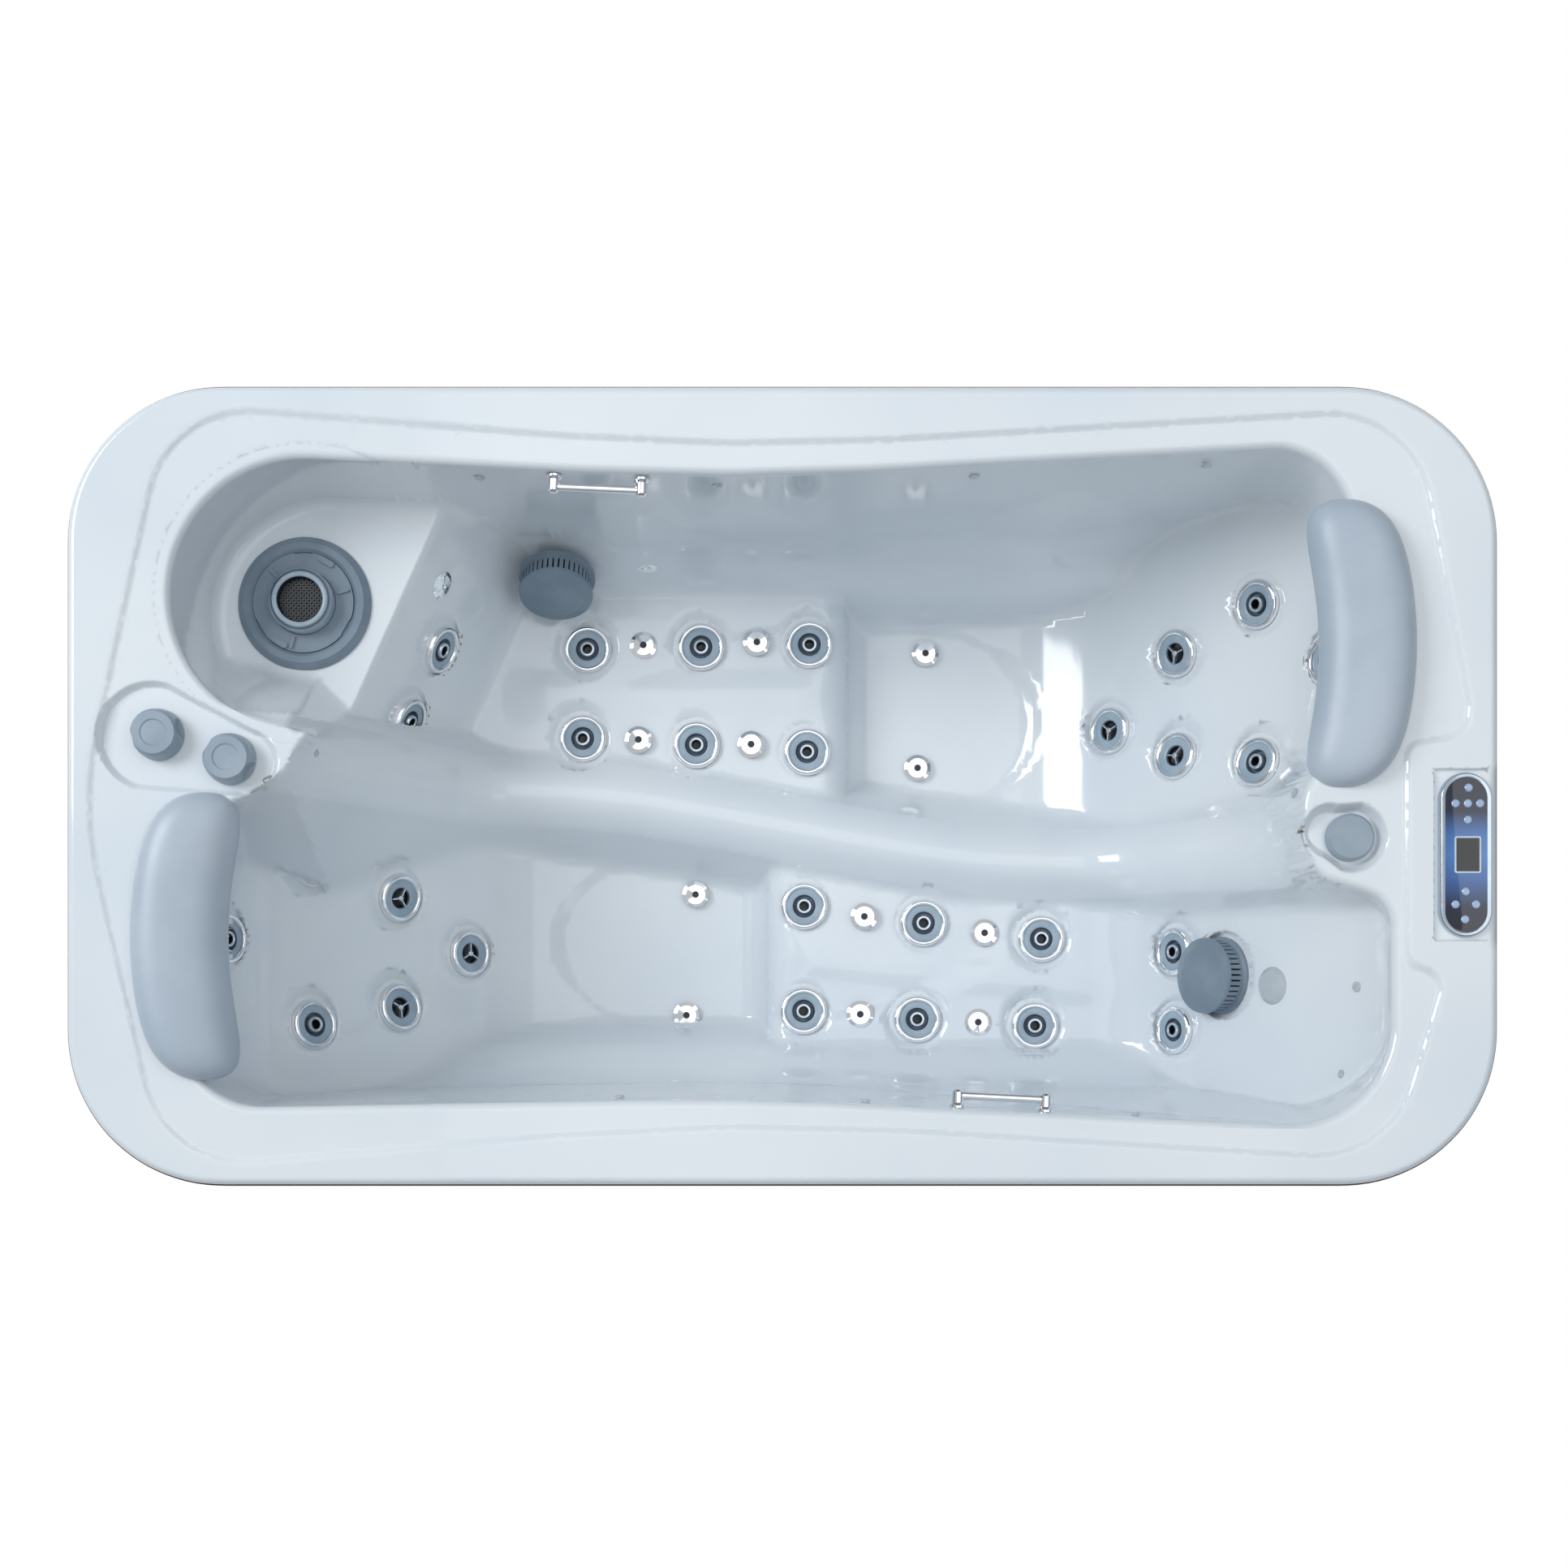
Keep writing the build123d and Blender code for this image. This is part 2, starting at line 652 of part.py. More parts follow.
def make_shell(water):
    """Vacuum-formed acrylic shell: deck with a turned-down lip, two loungers, filter bowl and pockets."""
    under_water = basin_space(shell_wall)
    rim_points = [point for point, radius in rim_outline]
    rim_radii = [radius for point, radius in rim_outline]
    recess_start = panel_x - panel_recess_width / 2 - shell_wall
    recess_end = half_length - shell_wall / 2
    with BuildPart() as shell:
        with BuildSketch(Plane.XY.offset(tub_height - lip_drop)):
            RectangleRounded(tub_length, tub_width, corner_radius)
        extrude(amount=lip_drop)
        fillet(shell.edges().group_by(Axis.Z)[-1], edge_round)
        with BuildSketch(Plane.XY.offset(tub_height - lip_drop)):
            RectangleRounded(tub_length - 2 * shell_wall, tub_width - 2 * shell_wall, corner_radius - shell_wall)
        extrude(amount=lip_drop - deck_step - shell_wall, mode=Mode.SUBTRACT)
        add(under_water)
        add(bowl_room(shell_wall))
        add(pocket_room(shell_wall))
        with BuildSketch(Plane.XY.offset(tub_height - panel_recess_depth - shell_wall)):
            with Locations(((recess_start + recess_end) / 2, panel_y)):
                Rectangle(recess_end - recess_start, panel_recess_length + 2 * shell_wall)
        extrude(amount=shell_wall)
        with BuildPart(mode=Mode.PRIVATE) as trimmed:
            add(shell_bosses())
            add(water, mode=Mode.SUBTRACT)
        add(trimmed.part)
        with BuildSketch(Plane.XY.offset(tub_height)):
            Rectangle(tub_length * 2, tub_width * 2)
        extrude(amount=far_above, mode=Mode.SUBTRACT)
        with BuildSketch(Plane.XY.offset(deck_z)):
            with BuildLine():
                FilletPolyline(*rim_points, radius=rim_radii, close=True)
            make_face()
        extrude(amount=deck_step, mode=Mode.SUBTRACT)
        with BuildSketch(Plane.XY.offset(deck_z - bowl_step)):
            with Locations((bowl_x, bowl_y)):
                Circle(bowl_step_radius)
        extrude(amount=bowl_step, mode=Mode.SUBTRACT)
        add(water, mode=Mode.SUBTRACT)
        add(bowl_room(0.0), mode=Mode.SUBTRACT)
        add(pocket_room(0.0), mode=Mode.SUBTRACT)
        with BuildSketch(Plane.XY.offset(tub_height - panel_recess_depth)):
            with Locations((panel_x + panel_recess_width / 4, panel_y)):
                Rectangle(panel_recess_width * 1.5, panel_recess_length)
        extrude(amount=panel_recess_depth, mode=Mode.SUBTRACT)
        add(shell_cutters(), mode=Mode.SUBTRACT)
    return shell


def shell_cutters():
    """Dishes, pads and holes for everything that is fastened into the shell."""
    cutters = []
    top = 2 * jet_dish_depth + 4.0
    for name, kind, place, normal in jets:
        cutters.append(turned(jet_seat(place, normal), normal, [
            (0.0, -3 * shell_wall), (jet_body_tube + turn_gap, -3 * shell_wall),
            (jet_body_tube + turn_gap, 0.0), (jet_dish_radius, 0.0), (jet_dish_spread, top), (0.0, top),
        ]))
    for place, normal in injectors:
        cutters.append(turned(place, normal, [
            (0.0, -2 * shell_wall), (injector_stem + seat_gap, -2 * shell_wall),
            (injector_stem + seat_gap, 0.0), (injector_radius + turn_gap, 0.0),
            (injector_radius + turn_gap, shell_wall), (0.0, shell_wall),
        ]))
    for place, normal in leds:
        cutters.append(turned(place, normal, [
            (0.0, -2 * shell_wall), (led_stem + seat_gap, -2 * shell_wall), (led_stem + seat_gap, 0.0),
            (led_radius + seat_gap, 0.0), (led_radius + seat_gap, shell_wall), (0.0, shell_wall),
        ]))
    for feet in handle_feet:
        for place, normal in feet:
            cutters.append(turned(place, normal, [
                (0.0, -2 * shell_wall), (handle_stud + seat_gap, -2 * shell_wall),
                (handle_stud + seat_gap, 0.0), (handle_foot + seat_gap, 0.0), (handle_foot + seat_gap, shell_wall),
                (0.0, shell_wall),
            ]))
    for place, normal in suctions:
        cutters.append(turned(place, normal, [
            (0.0, -suction_reach), (suction_stem + seat_gap, -suction_reach), (suction_stem + seat_gap, 0.0),
            (suction_pad, 0.0), (suction_pad + 10.0, 2.2 * suction_height), (0.0, 2.2 * suction_height),
        ]))
    cutters.append(turned(main_light[0], main_light[1], [
        (0.0, -3 * shell_wall), (lens_stem + seat_gap, -3 * shell_wall),
        (lens_stem + seat_gap, -4.0), (lens_radius + seat_gap, -4.0),
        (lens_radius + seat_gap + 6.0, 3 * shell_wall), (0.0, 3 * shell_wall),
    ]))
    holes = [
        ((filter_x, filter_y, shelf_z), canister_radius + turn_gap),
        ((cap_x, cap_y, deck_z - cap_pocket_depth), cap_stem + turn_gap),
    ]
    for x, y in knob_spots:
        holes.append(((x, y, deck_z - tray_depth), valve_radius + seat_gap))
    for place, radius in holes:
        low = -2 * shell_wall
        cutters.append(turned(place, up, [(0.0, low), (radius, low), (radius, 5.0), (0.0, 5.0)]))
    return cutters


def make_base_tray():
    """Moulded pan that closes the bottom of the cabinet, with a low rim round the panels."""
    rim_gap = 1.0
    rim_outer_x = cabinet_x + rim_gap + tray_rim
    rim_outer_y = cabinet_y + rim_gap + tray_rim
    rim_outer_radius = cabinet_radius + rim_gap + tray_rim
    with BuildPart() as tray:
        with BuildSketch():
            RectangleRounded(2 * rim_outer_x, 2 * rim_outer_y, rim_outer_radius)
        extrude(amount=tray_floor)
        with BuildSketch(Plane.XY.offset(tray_floor)):
            RectangleRounded(2 * rim_outer_x, 2 * rim_outer_y, rim_outer_radius)
            offset(amount=-tray_rim, mode=Mode.SUBTRACT)
        extrude(amount=tray_upstand)
    return tray


def tube(start, end, size, wall):
    """Square tube between two points."""
    run = Vector(*end) - Vector(*start)
    side = Vector(0, 0, 1) if abs(run.Z) < abs(run.length) * 0.5 else Vector(1, 0, 0)
    with BuildPart() as body:
        with BuildSketch(Plane(origin=start, x_dir=side, z_dir=run)):
            Rectangle(size, size)
            Rectangle(size - 2 * wall, size - 2 * wall, mode=Mode.SUBTRACT)
        extrude(amount=run.length)
    return body.part


def make_frame():
    """Welded tube frame under the deck: posts, top and bottom rails and cut-off corners."""
    half = tube_size / 2
    rail_x = cabinet_x - panel_wall - tube_standoff - half - 1.0
    rail_y = cabinet_y - panel_wall - tube_standoff - half
    post_x = corner_x + 13.0
    post_y = corner_y + 13.0
    low = tray_floor + seat_gap
    high = deck_under - seat_gap
    levels = [low + half, high - half]
    end_levels = [low + half, high - half - end_rail_drop]
    gap = half + seat_gap
    corner_gap = half * sqrt(2.0) + seat_gap
    with BuildPart() as frame:
        for sx in (-1, 1):
            for sy in (-1, 1):
                long_post = (sx * post_x, sy * rail_y)
                end_post = (sx * rail_x, sy * post_y)
                run = hypot(end_post[0] - long_post[0], end_post[1] - long_post[1])
                ux = (end_post[0] - long_post[0]) / run * corner_gap
                uy = (end_post[1] - long_post[1]) / run * corner_gap
                for post in (long_post, end_post):
                    add(tube((*post, low), (*post, high), tube_size, tube_wall))
                for z in levels:
                    add(tube(
                        (long_post[0] + ux, long_post[1] + uy, z), (end_post[0] - ux, end_post[1] - uy, z),
                        tube_size, tube_wall,
                    ))
        for z in levels:
            for s in (-1, 1):
                add(tube((gap - post_x, s * rail_y, z), (post_x - gap, s * rail_y, z), tube_size, tube_wall))
        for z in end_levels:
            for s in (-1, 1):
                add(tube((s * rail_x, gap - post_y, z), (s * rail_x, post_y - gap, z), tube_size, tube_wall))
        for s in (-1, 1):
            for x in (-mid_post_x, mid_post_x):
                foot = low + tube_size + seat_gap
                add(tube((x, s * rail_y, foot), (x, s * rail_y, high - tube_size - seat_gap), tube_size, tube_wall))
    return frame


def make_cabinet():
    """Fixed skirt panels on three sides, and the four round corner covers."""
    low = tray_floor + seat_gap
    with BuildPart() as cabinet:
        with BuildSketch(Plane.XY.offset(low)):
            for side in (-1, 1):
                with Locations((0.0, side * (cabinet_y - panel_wall / 2))):
                    Rectangle(2 * corner_x - 2 * seat_gap, panel_wall)
            with Locations((panel_wall / 2 - cabinet_x, 0.0)):
                Rectangle(panel_wall, 2 * corner_y - 2 * seat_gap)
        extrude(amount=cabinet_top - low)
        for sx in (-1, 1):
            for sy in (-1, 1):
                with BuildSketch(Plane.XY.offset(low)):
                    with Locations((sx * corner_x, sy * corner_y)):
                        Circle(cabinet_radius)
                        Circle(cabinet_radius - panel_wall, mode=Mode.SUBTRACT)
                    with Locations((sx * (corner_x + cabinet_radius / 2), sy * (corner_y + cabinet_radius / 2))):
                        Rectangle(cabinet_radius, cabinet_radius, mode=Mode.INTERSECT)
                extrude(amount=cabinet_top - low)
    return cabinet


def make_door():
    """Lift-off service panel at the equipment end, between two corner covers."""
    low = tray_floor + tray_upstand + turn_gap
    high = tub_height - lip_drop - turn_gap
    with BuildPart() as door:
        with BuildSketch(Plane.XY.offset(low)):
            with Locations((cabinet_x - panel_wall / 2, 0.0)):
                Rectangle(panel_wall, 2 * corner_y - 2 * turn_gap)
        extrude(amount=high - low)
    return door


def jet_face(place, normal, kind):
    """Turning jet insert: barrel, ring that covers the fitting, and a nozzle or a three-armed spreader."""
    seat = jet_seat(place, normal)
    flange = jet_flange_thick + turn_gap
    skirt = jet_body_flange + turn_gap
    bore = 7.0 if kind == "nozzle" else 15.0
    outline = [
        (bore, -jet_barrel_length), (jet_barrel, -jet_barrel_length), (jet_barrel, flange), (skirt, flange),
        (skirt, turn_gap), (jet_radius, turn_gap), (jet_radius, flange + 2.0), (jet_radius - 4.0, flange + 6.5),
        (jet_radius - 9.0, flange + 5.5), (jet_radius - 11.0, flange + 2.5), (bore + 8.0, flange + 2.5),
        (bore + 5.0, flange + 7.0), (bore, flange + 7.0),
    ]
    plane = axial_plane(seat, normal)
    across = plane.x_dir
    face = Plane(origin=seat, x_dir=across, z_dir=normal).offset(flange - 1.0)
    with BuildPart() as body:
        add(turned(seat, normal, outline))
        if kind == "spokes":
            with BuildSketch(face):
                with PolarLocations(bore / 2, 3):
                    Rectangle(bore + 4.0, 3.2)
            extrude(amount=5.0)
        with BuildSketch(face.offset(5.5)):
            with PolarLocations(jet_radius + 1.5, 3):
                Circle(4.0)
        extrude(amount=6.0, mode=Mode.SUBTRACT)
    return body


def make_jet_bodies():
    """Wall fittings clamped through the shell, each with its water and air connections."""
    bore = jet_barrel + turn_gap
    deep = -jet_body_length
    nut = -shell_wall - seat_gap
    with BuildPart() as bodies:
        for name, kind, place, normal in jets:
            seat = offset_point(jet_seat(place, normal), normal, seat_gap)
            with BuildPart(mode=Mode.PRIVATE) as one:
                add(turned(seat, normal, [
                    (bore, jet_flange_thick - seat_gap), (jet_body_flange, jet_flange_thick - seat_gap),
                    (jet_body_flange, 0.0), (jet_body_tube, 0.0), (jet_body_tube, nut - seat_gap),
                    (jet_body_tube + 9.0, nut - seat_gap), (jet_body_tube + 9.0, nut - 9.0),
                    (jet_body_tube, nut - 9.0), (jet_body_tube, deep), (10.0, deep), (10.0, deep - 22.0),
                    (7.0, deep - 22.0), (7.0, deep + 4.0), (bore, deep + 4.0),
                ]))
            add(one.part)
    return bodies


def make_injectors():
    """Chrome air injectors in the floor of the loungers."""
    with BuildPart() as group:
        for place, normal in injectors:
            seat = offset_point(place, normal, seat_gap)
            add(turned(seat, normal, [
                (2.5, -38.0), (injector_stem, -38.0), (injector_stem, 0.0), (injector_radius, 0.0),
                (injector_radius, 1.2), (injector_radius - 6.0, 3.4), (6.0, 4.6), (4.0, 2.6), (2.5, 2.6),
            ]))
    return group


def make_suctions():
    """Suction covers: a slotted drum with a closed front, on a threaded wall fitting."""
    slots = 40
    with BuildPart() as group:
        for place, normal in suctions:
            seat = offset_point(place, normal, seat_gap)
            plane = axial_plane(seat, normal)
            with BuildPart(mode=Mode.PRIVATE) as one:
                add(turned(seat, normal, [
                    (suction_stem - 5.0, -46.0), (suction_stem, -46.0), (suction_stem, 0.0),
                    (suction_radius, 0.0), (suction_radius, 5.0), (suction_drum, 7.0),
                    (suction_drum, suction_height - 9.0), (suction_radius - 2.0, suction_height - 8.0),
                    (suction_radius - 3.0, suction_height - 3.0), (suction_radius - 16.0, suction_height),
                    (0.0, suction_height + 1.0), (0.0, suction_height - 4.0),
                    (suction_drum - 5.0, suction_height - 8.0), (suction_drum - 5.0, 4.0), (suction_stem - 5.0, 4.0),
                ]))
                with BuildSketch(Plane(origin=seat, x_dir=plane.x_dir, z_dir=normal).offset(11.0)):
                    with PolarLocations(suction_drum, slots):
                        Rectangle(14.0, 3.0)
                extrude(amount=suction_height - 24.0, mode=Mode.SUBTRACT)
            add(one.part)
    return group


def make_lenses():
    """Clear lenses of the main lamp and the small wall lamps, with the stems of their holders."""
    seat = offset_point(main_light[0], main_light[1], seat_gap - 4.0)
    with BuildPart() as lens:
        for place, normal in leds:
            add(turned(offset_point(place, normal, seat_gap), normal, [
                (0.0, -14.0), (led_stem, -14.0), (led_stem, 0.0), (led_radius, 0.0), (led_radius, 1.2),
                (led_radius - 2.0, 2.8), (0.0, 3.6),
            ]))
        add(turned(seat, main_light[1], [
            (0.0, -30.0), (lens_stem, -30.0), (lens_stem, 0.0), (lens_radius, 0.0), (lens_radius, 4.0),
            (lens_radius - 7.0, 9.0), (0.0, 11.0),
        ]))
    return lens


def make_handles():
    """Chrome grab bars just under the rim, each seated in two posts with studs through the wall."""
    inset = handle_post - handle_seat
    with BuildPart() as group:
        for feet in handle_feet:
            ends = [Vector(*offset_point(place, normal, seat_gap + handle_reach)) for place, normal in feet]
            run = ends[1] - ends[0]
            line = Plane(origin=ends[0], z_dir=run)
            with BuildPart(mode=Mode.PRIVATE) as posts:
                for place, normal in feet:
                    add(turned(offset_point(place, normal, seat_gap), normal, [
                        (0.0, -20.0), (handle_stud, -20.0), (handle_stud, 0.0), (handle_foot, 0.0),
                        (handle_foot, 3.0), (handle_foot - 2.0, 5.0), (handle_post, 7.0),
                        (handle_post, handle_reach + 6.0), (handle_post - 3.0, handle_reach + 9.0),
                        (0.0, handle_reach + 9.0),
                    ]))
                with BuildSketch(line.offset(inset)):
                    Circle(handle_bar + seat_gap)
                extrude(amount=run.length - 2 * inset, mode=Mode.SUBTRACT)
            with BuildPart(mode=Mode.PRIVATE) as bar:
                with BuildSketch(line.offset(inset + seat_gap)):
                    Circle(handle_bar)
                extrude(amount=run.length - 2 * (inset + seat_gap))
            add(posts.part)
            add(bar.part)
    return group


def make_canister():
    """Filter canister hung through the shelf by its wide collar, with an outlet at the bottom."""
    inner = canister_radius - canister_wall
    low = -canister_depth
    with BuildPart() as canister:
        add(turned((filter_x, filter_y, shelf_z + seat_gap), up, [
            (lock_ring_radius + turn_gap, collar_height - 4.0), (lock_ring_radius + 6.0, collar_height),
            (collar_radius - 10.0, collar_height - 1.0), (collar_radius, 3.0), (collar_radius, 0.0),
            (canister_radius, 0.0), (canister_radius, low), (24.0, low), (24.0, low - 30.0), (20.0, low - 30.0),
            (20.0, low + canister_wall), (inner, low + canister_wall), (inner, collar_height - 12.0),
            (lock_ring_radius + turn_gap, collar_height - 12.0),
        ]))
    return canister


def make_lock_ring():
    """Bayonet ring that holds the weir in the collar, with two lugs to turn it by."""
    inner = weir_radius + turn_gap
    low = collar_height - 12.0 + seat_gap + turn_gap
    base = shelf_z + low
    with BuildPart() as ring:
        with BuildSketch(Plane.XY.offset(base)):
            with Locations((filter_x, filter_y)):
                Circle(lock_ring_radius)
                Circle(inner, mode=Mode.SUBTRACT)
        extrude(amount=lock_ring_height)
        with BuildSketch(Plane.XY.offset(base + lock_ring_height)):
            with Locations((filter_x, filter_y)):
                with PolarLocations((lock_ring_radius + inner) / 2 + 8.0, 2, start_angle=60.0):
                    RectangleRounded(9.0, 26.0, 3.0)
                with PolarLocations((lock_ring_radius + inner) / 2, 3, start_angle=15.0):
                    RectangleRounded(20.0, 5.0, 2.0)
        extrude(amount=4.0)
        with BuildSketch(Plane.XY.offset(base + lock_ring_height - 4.0)):
            with Locations((filter_x, filter_y)):
                with PolarLocations(lock_ring_radius + 1.0, 3, start_angle=-30.0):
                    RectangleRounded(7.0, 30.0, 2.5)
        extrude(amount=6.0, mode=Mode.SUBTRACT)
    return ring


def make_weir():
    """Floating weir: a raised ring with a mesh basket hanging in its mouth."""
    top = shelf_z + collar_height + weir_height
    bottom = shelf_z - 22.0
    with BuildPart() as weir:
        add(turned((filter_x, filter_y, 0.0), up, [
            (weir_mesh_radius, top), (weir_radius - 5.0, top), (weir_radius - 2.0, top - 3.0),
            (weir_radius, top - 9.0), (weir_radius, bottom), (weir_mesh_radius, bottom),
        ]))
        with BuildSketch(Plane.XY.offset(top - 24.0)):
            with Locations((filter_x, filter_y)):
                Circle(weir_mesh_radius + 1.0)
            with Locations((filter_x, filter_y)):
                with GridLocations(9.0, 9.0, 8, 8):
                    Rectangle(6.0, 6.0, mode=Mode.SUBTRACT)
        extrude(amount=2.0)
    return weir


def make_cartridge():
    """Pleated filter cartridge with end caps, standing in the canister."""
    top = shelf_z - 22.0 - weir_travel - turn_gap
    low = top - cartridge_length
    outer = cartridge_radius
    inner = cartridge_radius - pleat_depth
    with BuildPart() as cartridge:
        with BuildSketch(Plane.XY.offset(low)):
            with BuildLine():
                points = []
                for k in range(2 * pleat_count):
                    radius = outer if k % 2 else inner
                    turn = pi * k / pleat_count
                    points.append((filter_x + radius * cos(turn), filter_y + radius * sin(turn)))
                Polyline(*points, close=True)
            make_face()
            with Locations((filter_x, filter_y)):
                Circle(27.0, mode=Mode.SUBTRACT)
        extrude(amount=cartridge_length)
        for z in (low, top - 12.0):
            with BuildSketch(Plane.XY.offset(z)):
                with Locations((filter_x, filter_y)):
                    Circle(outer + 4.0)
                    Circle(27.0, mode=Mode.SUBTRACT)
            extrude(amount=12.0)
        with BuildSketch(Plane.XY.offset(shelf_z - canister_depth + canister_wall + seat_gap + turn_gap)):
            with Locations((filter_x, filter_y)):
                Circle(32.0)
                Circle(27.0, mode=Mode.SUBTRACT)
        extrude(amount=low - (shelf_z - canister_depth + canister_wall + seat_gap + turn_gap))
    return cartridge


def make_knob(x, y, heading):
    """Valve knob with two shallow finger notches, one on each side, and a stem into its valve."""
    base = deck_z - tray_depth + turn_gap
    radius = knob_radius
    with BuildPart() as knob:
        add(turned((x, y, base), up, [
            (0.0, -knob_stem_length), (knob_stem, -knob_stem_length), (knob_stem, 0.0), (radius, 0.0),
            (radius, 6.0), (radius - 3.0, knob_height - 5.0), (radius - 7.0, knob_height), (20.0, knob_height),
            (18.0, knob_height - 1.5), (0.0, knob_height - 1.0),
        ]))
        with BuildSketch(Plane.XY.offset(base + 6.0)):
            with Locations((x, y)):
                with PolarLocations(radius + knob_notch - knob_notch_depth, 2, start_angle=heading):
                    Circle(knob_notch)
        extrude(amount=knob_height, mode=Mode.SUBTRACT)
    return knob


def make_aroma_cap():
    """Lift-off cap of the fragrance canister."""
    base = deck_z - cap_pocket_depth + turn_gap
    with BuildPart() as cap:
        add(turned((cap_x, cap_y, base), up, [
            (0.0, -20.0), (cap_stem, -20.0), (cap_stem, 0.0), (cap_radius, 0.0), (cap_radius, cap_height - 4.0),
            (cap_radius - 4.0, cap_height), (0.0, cap_height + 1.0),
        ]))
    return cap


def make_topside_panel():
    """Control panel in its recess, with a window for the display and a hole for each button."""
    base = tub_height - panel_recess_depth + seat_gap
    with BuildPart() as panel:
        with BuildSketch(Plane.XY.offset(base)):
            with Locations((panel_x, panel_y)):
                SlotOverall(panel_length, panel_width, rotation=90)
        extrude(amount=panel_thick)
        fillet(panel.edges().group_by(Axis.Z)[-1], 3.0)
        with BuildSketch(Plane.XY.offset(base + panel_thick)):
            with Locations((panel_x, panel_y)):
                Rectangle(display_width, display_length)
        extrude(amount=-1.5, mode=Mode.SUBTRACT)
        with BuildSketch(Plane.XY.offset(base + panel_thick)):
            for x, y in button_spots:
                with Locations((panel_x + x, panel_y + y)):
                    Circle(button_radius + button_gap)
        extrude(amount=-(button_height - button_proud + button_travel + button_gap), mode=Mode.SUBTRACT)
    return panel


def make_button(x, y):
    """Round push button with a domed top."""
    base = tub_height - panel_recess_depth + seat_gap + panel_thick + button_proud - button_height
    with BuildPart() as button:
        add(turned((panel_x + x, panel_y + y, base), up, [
            (0.0, 0.0), (button_radius, 0.0), (button_radius, button_height - 1.2),
            (button_radius - 1.5, button_height), (0.0, button_height),
        ]))
    return button


def pillow_blob(middle_x, middle_y, side):
    """Crowned crescent cushion, before it is fitted over the rim."""
    half_stations = [(0.35, 1.0), (0.72, 0.93), (0.93, 0.74), (1.0, 0.42)]
    stations = [(-share, size) for share, size in half_stations[::-1]] + half_stations
    with BuildPart() as blob:
        for share, size in stations:
            x = middle_x - side * pillow_bow * share * share
            y = middle_y + share * pillow_half_length
            with BuildSketch(Plane(origin=(x, y, deck_z - 6.0), x_dir=(1, 0, 0), z_dir=(0, -1, 0))):
                Ellipse(pillow_half_width * size, pillow_half_height * size, rotation=side * pillow_tilt)
        loft()
    return blob.part


def make_pillow(middle_x, middle_y, side, water):
    """Head pillow, hugging the rim over the backrest."""
    reach = 2 * pillow_half_width + pillow_bow + 40.0
    with BuildPart() as pillow:
        add(pillow_blob(middle_x, middle_y, side))
        with BuildPart(mode=Mode.PRIVATE) as rim:
            with BuildSketch(Plane.XY.offset(deck_z - 2.2 * pillow_half_width)):
                with Locations((middle_x, middle_y)):
                    Rectangle(2 * reach, 2 * pillow_half_length + 40.0)
            extrude(amount=2.2 * pillow_half_width + pillow_gap)
            add(water, mode=Mode.SUBTRACT)
        add(rim.part, mode=Mode.SUBTRACT)
    return pillow


def make_pumps():
    """Massage pump with its motor at one end of the tub, and the air blower at the other."""
    floor = tray_floor + seat_gap
    with BuildPart() as group:
        with BuildPart(mode=Mode.PRIVATE) as pump:
            add(turned((pump_x, pump_y, pump_z), (0.0, 1.0, 0.0), [
                (0.0, 0.0), (92.0, 0.0), (100.0, 8.0), (100.0, 70.0), (85.0, 84.0), (80.0, 90.0), (80.0, 300.0),
                (70.0, 312.0), (0.0, 312.0),
            ]))
            for drop, wide in ((14.0, 150.0), (pump_z - floor - 60.0, 60.0)):
                with BuildSketch(Plane.XY.offset(floor)):
                    with Locations((pump_x, pump_y + 190.0)):
                        Rectangle(wide, 150.0)
                extrude(amount=drop)
            with BuildSketch(Plane.XY.offset(pump_z)):
                with Locations((pump_x, pump_y + 40.0)):
                    Circle(pipe_radius + 6.0)
            extrude(amount=130.0)
        add(pump.part)
        with BuildPart(mode=Mode.PRIVATE) as blower:
            add(turned((blower_x, blower_y, floor), up, [
                (0.0, 0.0), (95.0, 0.0), (95.0, 20.0), (82.0, 26.0), (82.0, 150.0), (60.0, 175.0), (0.0, 182.0),
            ]))
            add(turned((blower_x, blower_y, air_pipe_z), (1.0, 0.0, 0.0), [
                (0.0, 0.0), (pipe_radius + 6.0, 0.0), (pipe_radius + 6.0, 100.0), (0.0, 100.0),
            ]))
        add(blower.part)
    return group


def make_control_box():
    """Control box on two stands, with the heater tube under it."""
    floor = tray_floor + seat_gap
    with BuildPart() as box:
        with BuildSketch(Plane.XY.offset(floor)):
            for y in (-105.0, 105.0):
                with Locations((control_x, control_y + y)):
                    Rectangle(90.0, 14.0)
        extrude(amount=120.0)
        with BuildSketch(Plane.XY.offset(floor + 120.0)):
            with Locations((control_x, control_y)):
                RectangleRounded(110.0, 260.0, 8.0)
        extrude(amount=130.0)
        add(turned((control_x, control_y - 150.0, heater_z), (0.0, 1.0, 0.0), [
            (22.0, 0.0), (34.0, 0.0), (34.0, 14.0), (30.0, 14.0), (30.0, 286.0), (34.0, 286.0), (34.0, 300.0),
            (22.0, 300.0),
        ]))
    return box


def pipe(points):
    """Plastic pipe along a line of points, with rounded bends."""
    with BuildPart() as body:
        with BuildLine() as path:
            FilletPolyline(*points, radius=pipe_bend)
        with BuildSketch(Plane(origin=path.line @ 0, z_dir=path.line % 0)):
            Circle(pipe_radius)
            Circle(pipe_radius - pipe_wall, mode=Mode.SUBTRACT)
        sweep(path=path.line)
    return body.part


